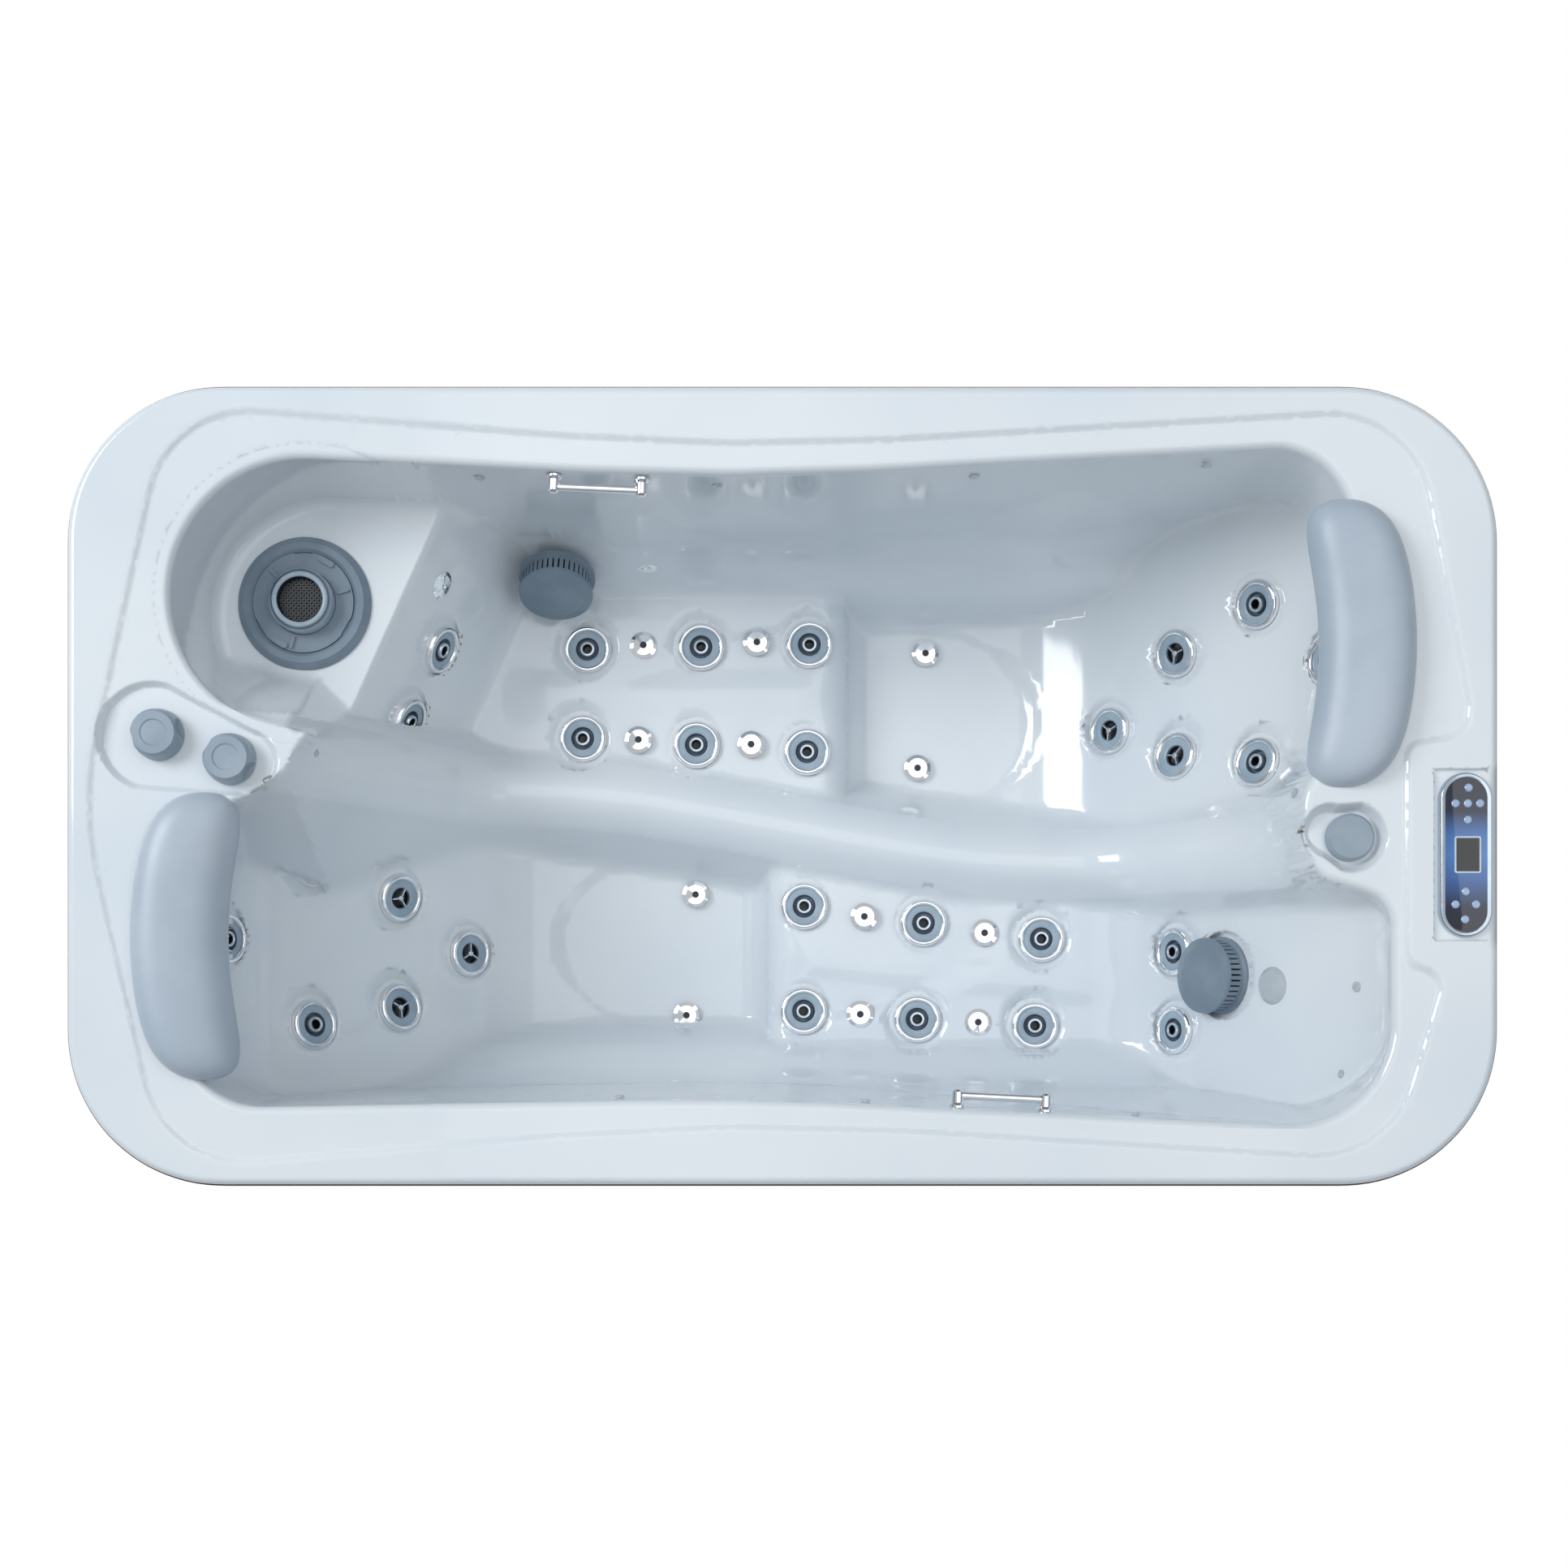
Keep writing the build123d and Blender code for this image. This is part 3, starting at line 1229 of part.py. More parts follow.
def make_pipework():
    """Valve bodies under the knobs and the main pipes between filter, suctions, pump, heater and blower."""
    valve_top = deck_z - tray_depth - seat_gap
    filter_outlet = shelf_z + seat_gap - canister_depth - 30.0 - seat_gap
    heater_start = control_y - 150.0 - seat_gap
    heater_end = control_y + 150.0 + seat_gap
    suction_ends = [offset_point(place, normal, seat_gap - 46.5) for place, normal in suctions]
    turns = [offset_point(place, normal, -110.0) for place, normal in suctions]
    valve_x, valve_y = knob_spots[0]
    filter_pipe_y = 60.0
    filter_pipe_z = 112.0
    outlet_z = pump_z + 130.0 + seat_gap
    inlet_y = pump_y - 60.0
    runs = [
        [suction_ends[1], turns[1], (turns[1][0], inlet_y, 290.0), (pump_x, inlet_y, pump_z),
         (pump_x, pump_y - seat_gap, pump_z)],
        [(pump_x, pump_y + 40.0, outlet_z), (pump_x, pump_y + 40.0, outlet_z + 60.0),
         (control_x + 65.0, pump_y + 40.0, outlet_z + 60.0), (control_x + 65.0, heater_start - 45.0, outlet_z + 60.0),
         (control_x + 65.0, heater_start - 45.0, heater_z + 45.0), (control_x, heater_start - 45.0, heater_z),
         (control_x, heater_start, heater_z)],
        [(control_x, heater_end, heater_z), (control_x, heater_end + 95.0, heater_z),
         (control_x - 120.0, 480.0, heater_z), (valve_x + 60.0, 480.0, heater_z), (valve_x, 400.0, heater_z),
         (valve_x, 400.0, 480.0), (valve_x, valve_y, 500.0), (valve_x, valve_y, valve_top - 125.5)],
        [(filter_x, filter_y, filter_outlet), (filter_x, filter_y, filter_pipe_z),
         (-600.0, filter_pipe_y, filter_pipe_z), (620.0, filter_pipe_y, filter_pipe_z),
         (690.0, -20.0, filter_pipe_z), (690.0, inlet_y, pump_z), (pump_x - pipe_radius - 0.5, inlet_y, pump_z)],
        [suction_ends[0], (turns[0][0], 470.0, 272.0), (turns[0][0], 470.0, filter_pipe_z + 20.0),
         (turns[0][0], filter_pipe_y + pipe_radius + 1.5, filter_pipe_z + 20.0)],
        [(blower_x + 100.0 + seat_gap, blower_y, air_pipe_z), (-650.0, blower_y, air_pipe_z),
         (-560.0, 0.0, air_pipe_z), (560.0, 0.0, air_pipe_z)],
    ]
    with BuildPart() as group:
        for x, y in knob_spots:
            add(turned((x, y, valve_top), up, [
                (knob_stem + turn_gap, 0.0), (valve_radius, 0.0), (valve_radius, -shell_wall),
                (36.0, -shell_wall), (36.0, -90.0), (pipe_radius, -100.0), (pipe_radius, -125.0), (0.0, -125.0),
                (0.0, -60.0), (knob_stem + turn_gap, -60.0),
            ]))
        for points in runs:
            add(pipe(points))
    return group


def save(body, name):
    body.part.label = name
    export_step(body.part, f"parts/{name}.step")


basin_water = basin_space(0.0)
leds = [wall_hit(basin_water, start, way) for start, way in led_lines]
injectors += [wall_hit(basin_water, start, way) for start, way in return_lines]
handle_feet = []
for middle_x, side in handle_spots:
    spread = handle_length / 2 - handle_bar
    starts = [(middle_x + step, side * 200.0, deck_z - handle_drop) for step in (-spread, spread)]
    handle_feet.append([wall_hit(basin_water, start, (0.0, side, 0.0)) for start in starts])

save(make_shell(basin_water), "acrylic_shell")
save(make_base_tray(), "base_tray")
save(make_frame(), "frame_tubes")
save(make_cabinet(), "cabinet_panels")
save(make_door(), "access_door")

for jet_name, jet_kind, jet_place, jet_normal in jets:
    save(jet_face(jet_place, jet_normal, jet_kind), f"jet_{jet_name}")
save(make_jet_bodies(), "jet_bodies")
save(make_injectors(), "air_injectors")
save(make_suctions(), "suction_covers")
save(make_lenses(), "light_lens")
save(make_handles(), "grab_handles")

save(make_canister(), "filter_canister")
save(make_lock_ring(), "filter_lock_ring")
save(make_weir(), "skimmer_weir")
save(make_cartridge(), "filter_cartridge")

save(make_knob(*knob_spots[0], 15.0), "diverter_knob")
save(make_knob(*knob_spots[1], 148.0), "air_control_knob")
save(make_aroma_cap(), "aroma_cap")

save(make_topside_panel(), "topside_panel")
for number, spot in enumerate(button_spots, start=1):
    save(make_button(*spot), f"panel_button_{number}")

pillow_water = basin_space(-pillow_gap)
save(make_pillow(half_length - 189.0, 209.0, 1, pillow_water), "pillow_east")
save(make_pillow(163.0 - half_length, -221.0, -1, pillow_water), "pillow_west")

save(make_pumps(), "pump_and_blower")
save(make_control_box(), "control_box")
save(make_pipework(), "valves_and_pipes")
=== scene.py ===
import json
import math

import bpy
import numpy as np
from mathutils import Matrix, Vector, geometry


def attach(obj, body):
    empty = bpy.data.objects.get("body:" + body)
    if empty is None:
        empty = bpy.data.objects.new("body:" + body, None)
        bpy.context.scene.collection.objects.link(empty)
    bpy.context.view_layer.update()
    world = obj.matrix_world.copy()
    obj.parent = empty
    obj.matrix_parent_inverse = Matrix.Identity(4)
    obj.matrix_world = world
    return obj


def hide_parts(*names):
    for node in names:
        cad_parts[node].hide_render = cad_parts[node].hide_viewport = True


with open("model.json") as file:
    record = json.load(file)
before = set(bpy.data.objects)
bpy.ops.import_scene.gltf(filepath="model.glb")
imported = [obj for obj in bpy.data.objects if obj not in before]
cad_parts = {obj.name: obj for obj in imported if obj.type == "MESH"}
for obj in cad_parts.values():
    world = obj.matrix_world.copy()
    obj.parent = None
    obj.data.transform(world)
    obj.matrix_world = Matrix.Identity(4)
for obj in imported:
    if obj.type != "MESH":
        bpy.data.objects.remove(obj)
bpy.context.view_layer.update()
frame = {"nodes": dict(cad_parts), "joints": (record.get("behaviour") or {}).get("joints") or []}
mm = 0.001
print("frame loaded")


# small helpers

def smoothStep(low, high, value):
    t = np.clip((value - low) / (high - low), 0.0, 1.0)
    return t * t * (3.0 - 2.0 * t)


def softMax(a, b, k):
    h = np.clip(0.5 + 0.5 * (a - b) / k, 0.0, 1.0)
    return b + (a - b) * h + k * h * (1.0 - h)


def softMin(a, b, k):
    return -softMax(-a, -b, k)


# corners are (x, y, radius); gives a dense line with the corners rounded
def roundedLine(corners, closed=True, angleStep=5.0):
    points = [np.array(c[:2], float) for c in corners]
    count = len(points)
    line = []
    for i in range(count):
        here = points[i]
        radius = corners[i][2]
        if radius == 0.0 or (not closed and i in (0, count - 1)):
            line.append(here)
            continue
        toPrev = points[i - 1] - here
        toNext = points[(i + 1) % count] - here
        lenPrev = np.linalg.norm(toPrev)
        lenNext = np.linalg.norm(toNext)
        toPrev = toPrev / lenPrev
        toNext = toNext / lenNext
        inner = math.acos(float(np.clip(np.dot(toPrev, toNext), -1.0, 1.0)))
        reach = min(radius / math.tan(inner / 2), lenPrev * 0.49, lenNext * 0.49)
        radius = reach * math.tan(inner / 2)
        start = here + toPrev * reach
        bisector = (toPrev + toNext) / np.linalg.norm(toPrev + toNext)
        centre = here + bisector * math.hypot(reach, radius)
        sweep = math.pi - inner
        steps = max(2, int(math.degrees(sweep) / angleStep) + 1)
        first = math.atan2(*(start - centre)[::-1])
        turn = 1.0 if toPrev[0] * toNext[1] - toPrev[1] * toNext[0] < 0.0 else -1.0
        for k in range(steps + 1):
            a = first + turn * sweep * k / steps
            line.append(centre + radius * np.array([math.cos(a), math.sin(a)]))
    return np.array(line)


def resample(line, step, closed=True):
    pts = np.vstack([line, line[:1]]) if closed else line
    seg = np.linalg.norm(np.diff(pts, axis=0), axis=1)
    along = np.concatenate([[0.0], np.cumsum(seg)])
    count = max(8, int(round(along[-1] / step)))
    s = np.linspace(0.0, along[-1], count + 1)
    if closed:
        s = s[:-1]
    return np.column_stack([np.interp(s, along, pts[:, 0]), np.interp(s, along, pts[:, 1])])


# moves a closed line sideways, positive towards its inside (lines run anticlockwise)
def shifted(line, amount):
    tangent = np.roll(line, -1, axis=0) - np.roll(line, 1, axis=0)
    tangent /= np.linalg.norm(tangent, axis=1)[:, None]
    return line + amount * np.column_stack([-tangent[:, 1], tangent[:, 0]])


# distance to a closed line, positive inside
def insideDistance(x, y, line):
    flat = np.column_stack([x.ravel(), y.ravel()])
    a = line
    b = np.roll(line, -1, axis=0)
    ab = b - a
    lengthSq = (ab ** 2).sum(1)
    out = np.empty(len(flat))
    for start in range(0, len(flat), 4000):
        p = flat[start:start + 4000]
        ap = p[:, None, :] - a[None, :, :]
        t = np.clip((ap * ab[None]).sum(2) / lengthSq[None], 0.0, 1.0)
        near = np.sqrt(((ap - t[:, :, None] * ab[None]) ** 2).sum(2).min(1))
        above = (a[None, :, 1] > p[:, 1:2]) != (b[None, :, 1] > p[:, 1:2])
        with np.errstate(divide="ignore", invalid="ignore"):
            crossX = a[None, :, 0] + (p[:, 1:2] - a[None, :, 1]) * ab[None, :, 0] / ab[None, :, 1]
        inside = (above & (p[:, 0:1] < crossX)).sum(1) % 2 == 1
        out[start:start + 4000] = np.where(inside, near, -near)
    return out.reshape(x.shape)


# the moulded shell

shellCfg = {
    "halfLength": 1050.0, "halfWidth": 586.0, "corner": 225.0, "top": 760.0, "deck": 754.0,
    "edgeRound": 12.0, "lip": 712.0, "wall": 8.0, "rimRound": 13.0, "draft": math.tan(math.radians(2.3)),
    "bowlDraft": math.tan(math.radians(5.0)), "bowl": (-703.0, 283.0, 200.0), "bowlStep": (224.0, 3.0),
    "shelf": 560.0, "fillet": 30.0,
    # two round ends (place, radius) each, and a depth below the deck
    "tray": ((-927.0, 73.0), 80.0, (-792.0, 34.0), 50.0), "trayDepth": 12.0,
    "pocket": ((837.0, -75.0), 52.0, (806.0, -66.0), 40.0), "pocketDepth": 22.0,
    # inner edge, middle, half length and floor of the panel recess
    "recess": (955.5, -102.0, 126.0, 753.0), "filterHole": (-746.0, 306.0, 82.0), "jetHole": 26.0,
    # radius where a dish starts to rise and how steeply: jets in two steps, suction covers in one
    "jetDish": ((45.0, 0.85), (60.0, 8.0)), "suctionDish": (68.0, 7.0),
}
recessEdge, recessMiddle, recessHalf, recessFloor = shellCfg["recess"]
rimCorners = [
    (-1028, -30, 500), (-900, 558, 150), (-76, 493, 3500), (925, 552, 150), (1015, 75, 45), (915, 62, 25),
    (915, -262, 30), (972, -280, 30), (890, -549, 150), (-76, -490, 3500), (-905, -562, 150),
]
basinCorners = [
    (-76, 452, 4000), (812, 502, 110), (886, 200, 260), (760, -20, 80), (782, -135, 48), (897, -168, 52),
    (897, -506, 150), (-60, -459, 4000), (-870, -474, 120), (-905, -215, 300), (-820, -35, 60),
    (-740, 20, 45), (-692, 81, 9),
]
bowlX, bowlY, bowlR = shellCfg["bowl"]
arc = [(bowlX + bowlR * math.cos(a), bowlY + bowlR * math.sin(a), 0.0)
       for a in np.radians(np.arange(266.0, 82.0, -5.0))]
rimLine = roundedLine(rimCorners)[::-1]
basinLine = roundedLine(basinCorners + arc)[::-1]
outerLine = roundedLine([(x * shellCfg["halfLength"], y * shellCfg["halfWidth"], shellCfg["corner"])
                         for x, y in ((-1, -1), (1, -1), (1, 1), (-1, 1))])

shelfStart = np.array([-700.0, 80.0])
shelfEnd = np.array([-523.0, 474.0])
shelfAlong = (shelfEnd - shelfStart) / np.linalg.norm(shelfEnd - shelfStart)
shelfOut = np.array([shelfAlong[1], -shelfAlong[0]])


def profile(corners):
    line = roundedLine(corners, closed=False, angleStep=3.0)
    order = np.argsort(line[:, 0], kind="stable")
    return line[order, 0], line[order, 1]


northRun = profile([(-1300, 250, 0), (100, 250, 55), (122, 160, 50), (480, 160, 300), (832, 551, 200),
                    (880, 900, 0), (1300, 901, 0)])
southRun = profile([(-1300, 901, 0), (-893, 900, 0), (-848, 572, 200), (-450, 160, 300), (-37, 160, 50),
                    (-15, 250, 55), (600, 250, 150), (1022, 900, 0), (1300, 901, 0)])
sideRun = profile([(0, 100, 0), (325, 100, 0), (385, 250, 80), (441, 365, 120), (514, 900, 0), (700, 901, 0)])
ridgeTop = profile([(-1300, 901, 0), (-730, 754, 0), (-500, 290, 140), (560, 290, 170), (860, 754, 0),
                    (1300, 901, 0)])
ridgeLine = profile([(-1300, 64, 0), (-300, 42, 1500), (330, -76, 1500), (1300, -84, 0)])
ledgeShift = ([-600, -500, -234, 100, 450, 720], [30, 34, -9, 22, 8, 50])

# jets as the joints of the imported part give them: place of the seat and direction
jetSpots = {}
for joint in frame["joints"]:
    if joint["child"].startswith("jet_"):
        axis = np.array(joint["axis"], float)
        jetSpots[joint["child"]] = (np.array(joint["pos_m"]) * 1000.0, axis / np.linalg.norm(axis))
suctionSpots = [(np.array([-379.0, 401.0, 318.0]), np.array([0.0, -0.8645, 0.5026])),
                (np.array([718.0, -272.0, 412.0]), np.array([-0.8645, 0.0, 0.5026]))]

# pressed into each lounger: the seat (middle, reach to the back, to the legs, across)
# and the panel of the back (middle, half length, half width)
loungerCfg = {
    "north": {"side": 1.0, "seat": (235.0, 178.0, 228.0, 620.0, 178.0), "back": (860.0, 212.0, 300.0, 190.0)},
    "south": {"side": -1.0, "seat": (-195.0, -205.0, 215.0, 600.0, 168.0),
              "back": (-890.0, -221.0, 300.0, 182.0)},
    "seatDepth": 9.0, "backDepth": 2.6,
}


def capsuleDistance(x, y, a, ra, b, rb):
    ax, ay = a
    bx, by = b
    t = np.clip(((x - ax) * (bx - ax) + (y - ay) * (by - ay)) / ((bx - ax) ** 2 + (by - ay) ** 2), 0.0, 1.0)
    return ra + (rb - ra) * t - np.hypot(x - ax - t * (bx - ax), y - ay - t * (by - ay))


def pressedDepth(x, y, lounger):
    c = loungerCfg[lounger]
    seatX, seatY, toBack, toLegs, across = c["seat"]
    reach = np.where((x - seatX) * c["side"] > 0.0, toBack, toLegs)
    seat = np.hypot((x - seatX) / reach, (y - seatY) / across)
    backX, backY, backLong, backWide = c["back"]
    back = np.hypot((x - backX) / backLong, (y - backY) / backWide)
    return (loungerCfg["seatDepth"] * smoothStep(1.0, 0.84, seat)
            + loungerCfg["backDepth"] * smoothStep(1.02, 0.97, back))


# height of the floor inside the basin, before walls
def floorHeight(x, y):
    c = shellCfg
    q = (x - shelfStart[0]) * shelfOut[0] + (y - shelfStart[1]) * shelfOut[1]
    shift = np.interp(x, *ledgeShift)
    north = np.interp(x, *northRun)
    calfRidge = np.exp(-((y - 212.0) / 34.0) ** 2)
    north = north + 9.0 * calfRidge * smoothStep(-480, -400, x) * smoothStep(90, 20, x)
    north = north - pressedDepth(x, y, "north")
    side = np.interp(np.abs(y) - shift * smoothStep(385, 441, np.abs(y)), *sideRun)
    side = side - 3.0 * np.maximum(0.0, -q)
    foot = softMin(560.0 - q * 2.747, np.full_like(q, c["shelf"]), 16.0)
    north = softMax(softMax(north, side, 22.0), foot, 45.0)
    north = np.where(q < -12.0, c["shelf"], north)
    south = np.interp(x, *southRun)
    calfRidge = np.exp(-((y + 256.0 + 0.1 * (x - 240.0)) / 34.0) ** 2)
    south = south + 7.0 * calfRidge * smoothStep(0, 60, x) * smoothStep(600, 500, x)
    south = south - pressedDepth(x, y, "south")
    sideS = np.interp(np.abs(y) - 12.0 * smoothStep(385, 441, np.abs(y)), *sideRun)
    south = softMax(south, sideS, 22.0)
    u = y - np.interp(x, *ridgeLine)
    au = np.abs(u)
    drop = np.minimum(au, 60.0) ** 2 / 90.0 + np.maximum(0.0, au - 60.0) * 2.0
    ridge = np.interp(x, *ridgeTop) - drop
    floor = softMax(np.where(u > 0.0, north, south), ridge, 30.0)
    return floor, q


def shellHeight(x, y):
    c = shellCfg
    floor, q = floorHeight(x, y)
    d = insideDistance(x, y, basinLine)
    rim = insideDistance(x, y, rimLine)
    deck = c["deck"] + (c["top"] - c["deck"]) * smoothStep(6.0, -8.0, rim)
    fromBowl = np.hypot(x - bowlX, y - bowlY)
    deck = deck - c["bowlStep"][1] * smoothStep(c["bowlStep"][0] + 1, c["bowlStep"][0] - 6, fromBowl)
    inBowl = smoothStep(20.0, -20.0, q)
    draft = c["draft"] + (c["bowlDraft"] - c["draft"]) * inBowl
    r = c["rimRound"]
    open_ = np.clip((deck - r - floor) / 25.0, 0.0, 1.0)
    rounded = deck - open_ * (r - np.sqrt(np.maximum(0.0, r * r - np.clip(d + r, 0.0, r) ** 2)))
    wall = deck - r * open_ - np.maximum(d, 0.0) / draft
    f = c["fillet"] - 8.0 * inBowl
    run = d - (deck - r - floor) * draft + f * draft
    curve = floor + f - np.sqrt(np.maximum(0.0, f * f - np.clip(f - run, 0.0, f) ** 2))
    inner = softMin(deck, np.maximum(wall, curve), 10.0)
    z = np.where(d < 0.0, rounded, np.minimum(inner, deck))
    # dishes of the jets
    for place, normal in jetSpots.values():
        near = np.abs(x - place[0]) + np.abs(y - place[1]) < 190.0
        if not near.any():
            continue
        dx = x[near] - place[0]
        dy = y[near] - place[1]
        plane = place[2] - (dx * normal[0] + dy * normal[1]) / normal[2]
        dz = plane - place[2]
        reach = np.sqrt(dx * dx + dy * dy + dz * dz) + 0.09 * (dx - dy) / 1.4
        flare = sum(np.maximum(0.0, reach - start) * slope for start, slope in c["jetDish"])
        dish = plane + flare / normal[2]
        depth = smoothStep(44.0, 22.0, z[near] - plane)
        z[near] = z[near] + (softMin(z[near], dish, 7.0) - z[near]) * depth
    for place, normal in suctionSpots:
        near = np.abs(x - place[0]) + np.abs(y - place[1]) < 260.0
        dx = x[near] - place[0]
        dy = y[near] - place[1]
        plane = place[2] - (dx * normal[0] + dy * normal[1]) / normal[2]
        dz = plane - place[2]
        reach = np.sqrt(dx * dx + dy * dy + dz * dz)
        start, slope = c["suctionDish"]
        z[near] = softMin(z[near], plane + np.maximum(0.0, reach - start) * slope, 8.0)
    tray = capsuleDistance(x, y, *c["tray"])
    z = z - c["trayDepth"] * smoothStep(-3.0, 8.0, tray) * (d < 0.0)
    pocket = capsuleDistance(x, y, *c["pocket"])
    z = z - c["pocketDepth"] * smoothStep(-3.0, 13.0, pocket) * (d < 0.0)
    recess = np.minimum(x - recessEdge, recessHalf - np.abs(y - recessMiddle))
    z = z - (z - recessFloor) * smoothStep(-0.6, 1.6, recess) * (d < 0.0)
    return z


def ringPoints(cx, cy, radius, count, stretch=1.0, heading=0.0):
    a = np.linspace(0.0, 2 * math.pi, count, endpoint=False)
    px = radius * stretch * np.cos(a)
    py = radius * np.sin(a)
    return np.column_stack([cx + px * math.cos(heading) - py * math.sin(heading),
                            cy + px * math.sin(heading) + py * math.cos(heading)])


def buildShell():
    c = shellCfg
    loops = []
    lipLine = resample(outerLine, 15.0)
    start = shifted(lipLine, c["edgeRound"])
    loops.append(start)
    edge = resample(basinLine, 11.0)
    for off in (-18, -13, -11, -9, -7, -5, -3.5, -2, -1, -0.3, 0.3, 1.2, 2.5, 4, 6, 8, 10, 12, 14, 16, 18, 20,
                22.5, 25, 28, 32, 37, 43, 50):
        loops.append(shifted(edge, off))
    step = resample(rimLine, 14.0)
    for off in (-10, -7, -5, -3, -1, 1, 3, 6):
        loops.append(shifted(step, off))
    extra = []
    for radius in (214, 218, 221, 225, 229):
        extra.append(ringPoints(bowlX, bowlY, radius, 90))
    for place, normal in jetSpots.values():
        tilt = math.atan2(normal[1], normal[0])
        for radius in (18, 30, 40, 44, 47, 50, 54, 58, 64, 72):
            extra.append(ringPoints(place[0], place[1], radius, 28, normal[2], tilt))
    for place, normal in suctionSpots:
        tilt = math.atan2(normal[1], normal[0])
        for radius in (30, 50, 62, 67, 71, 76, 84, 96):
            extra.append(ringPoints(place[0], place[1], radius, 40, normal[2], tilt))
    # denser points along the steep parts of the floor
    ys = np.arange(-480.0, 480.0, 11.0)
    for x0, lo, hi in ((110.0, -60.0, 400.0), (-26.0, -400.0, 60.0)):
        for off in (-48, -40, -32, -25, -19, -14, -10, -6, -3, 0, 3, 6, 10, 14, 19, 25, 32, 40, 48):
            keep = ys[(ys > lo) & (ys < hi)]
            extra.append(np.column_stack([np.full(len(keep), x0 + off), keep]))
    xs = np.arange(-760.0, 900.0, 10.0)
    away = (5, 11, 17, 22, 26, 29, 32, 35, 38, 42, 47, 54, 62)
    for off in [-v for v in reversed(away)] + [0] + list(away):
        extra.append(np.column_stack([xs, np.interp(xs, *ridgeLine) + off]))
    ss = np.arange(0.0, 432.0, 9.0)
    for q in (-16, -11, -7, -4, -1, 2, 5, 8, 12, 17, 24, 32, 41, 50, 60, 70, 80, 90, 98, 106, 114, 124, 136):
        extra.append(shelfStart + ss[:, None] * shelfAlong + q * shelfOut)
    for off in (-4, 0, 3, 6, 9, 13):
        for a, ra, b, rb in (c["tray"], c["pocket"]):
            for centre, radius in ((a, ra), (b, rb)):
                extra.append(ringPoints(*centre, radius - off, 48))
            for s in (-1, 1):
                way = np.array(b) - np.array(a)
                length = np.linalg.norm(way)
                way = way / length
                side = np.array([-way[1], way[0]]) * s
                t = np.linspace(0.0, 1.0, 14)[:, None]
                extra.append(np.array(a) + t * length * way + side * ((ra - off) + t * (rb - ra)))
    for off in (-2, -0.5, 0.6, 1.8, 4):
        ry = np.arange(recessMiddle - recessHalf - 4 + off, recessMiddle + recessHalf + 4 - off, 8.0)
        extra.append(np.column_stack([np.full(len(ry), recessEdge + off), ry]))
        rx = np.arange(951.0, 1038.0, 8.0)
        for s in (-1, 1):
            extra.append(np.column_stack([rx, np.full(len(rx), recessMiddle + s * (recessHalf - off))]))
    gx, gy = np.meshgrid(np.arange(-1036.0, 1037.0, 12.0), np.arange(-572.0, 573.0, 12.0))
    grid = np.column_stack([gx.ravel(), gy.ravel()])
    grid += np.random.default_rng(4).uniform(-0.4, 0.4, grid.shape)
    d = insideDistance(grid[:, 0], grid[:, 1], basinLine)
    lipD = insideDistance(grid[:, 0], grid[:, 1], start)
    sparse = (np.arange(len(grid)) % 2 == 0)
    grid = grid[((d > 40.0) | ((d < -16.0) & sparse)) & (lipD > 4.0)]
    free = np.vstack(extra)
    free = free[insideDistance(free[:, 0], free[:, 1], start) > 1.5]

    points = []
    edges = []
    for loop in loops:
        base = len(points)
        points += [tuple(p) for p in loop]
        if loop is start:
            edges += [(base + i, base + (i + 1) % len(loop)) for i in range(len(loop))]
    points += [tuple(p) for p in free]
    points += [tuple(p) for p in grid]
    inside = insideDistance(np.array(points)[:, 0], np.array(points)[:, 1], start) > -0.01
    remap = np.cumsum(inside) - 1
    edges = [(int(remap[a]), int(remap[b])) for a, b in edges]
    points = [Vector(p) for p, keep in zip(points, inside) if keep]
    flat, _, faces, _, _, _ = geometry.delaunay_2d_cdt(points, edges, [], 1, 1e-4)
    xy = np.array([tuple(v) for v in flat])
    x, y = xy[:, 0], xy[:, 1]
    z = shellHeight(x, y)
    e = 0.25
    slopeX = (shellHeight(x + e, y) - shellHeight(x - e, y)) / (2 * e)
    slopeY = (shellHeight(x, y + e) - shellHeight(x, y - e)) / (2 * e)
    normals = np.column_stack([-slopeX, -slopeY, np.ones(len(x))])
    normals /= np.linalg.norm(normals, axis=1)[:, None]
    verts = np.column_stack([x, y, z])
    # holes behind the jets and under the filter
    faces = np.array([f for f in faces if len(f) == 3])
    centres = verts[faces].mean(1)
    keep = np.ones(len(faces), bool)
    for place, normal in jetSpots.values():
        rel = centres - place
        along = rel @ normal
        away = np.sqrt(np.maximum(0.0, (rel ** 2).sum(1) - along ** 2))
        keep &= ~((away < c["jetHole"]) & (np.abs(along) < 14.0))
    holeX, holeY, holeR = c["filterHole"]
    fromHole = np.hypot(centres[:, 0] - holeX, centres[:, 1] - holeY)
    keep &= ~((fromHole < holeR) & (centres[:, 2] < c["shelf"] + 10.0))
    faces = faces[keep]

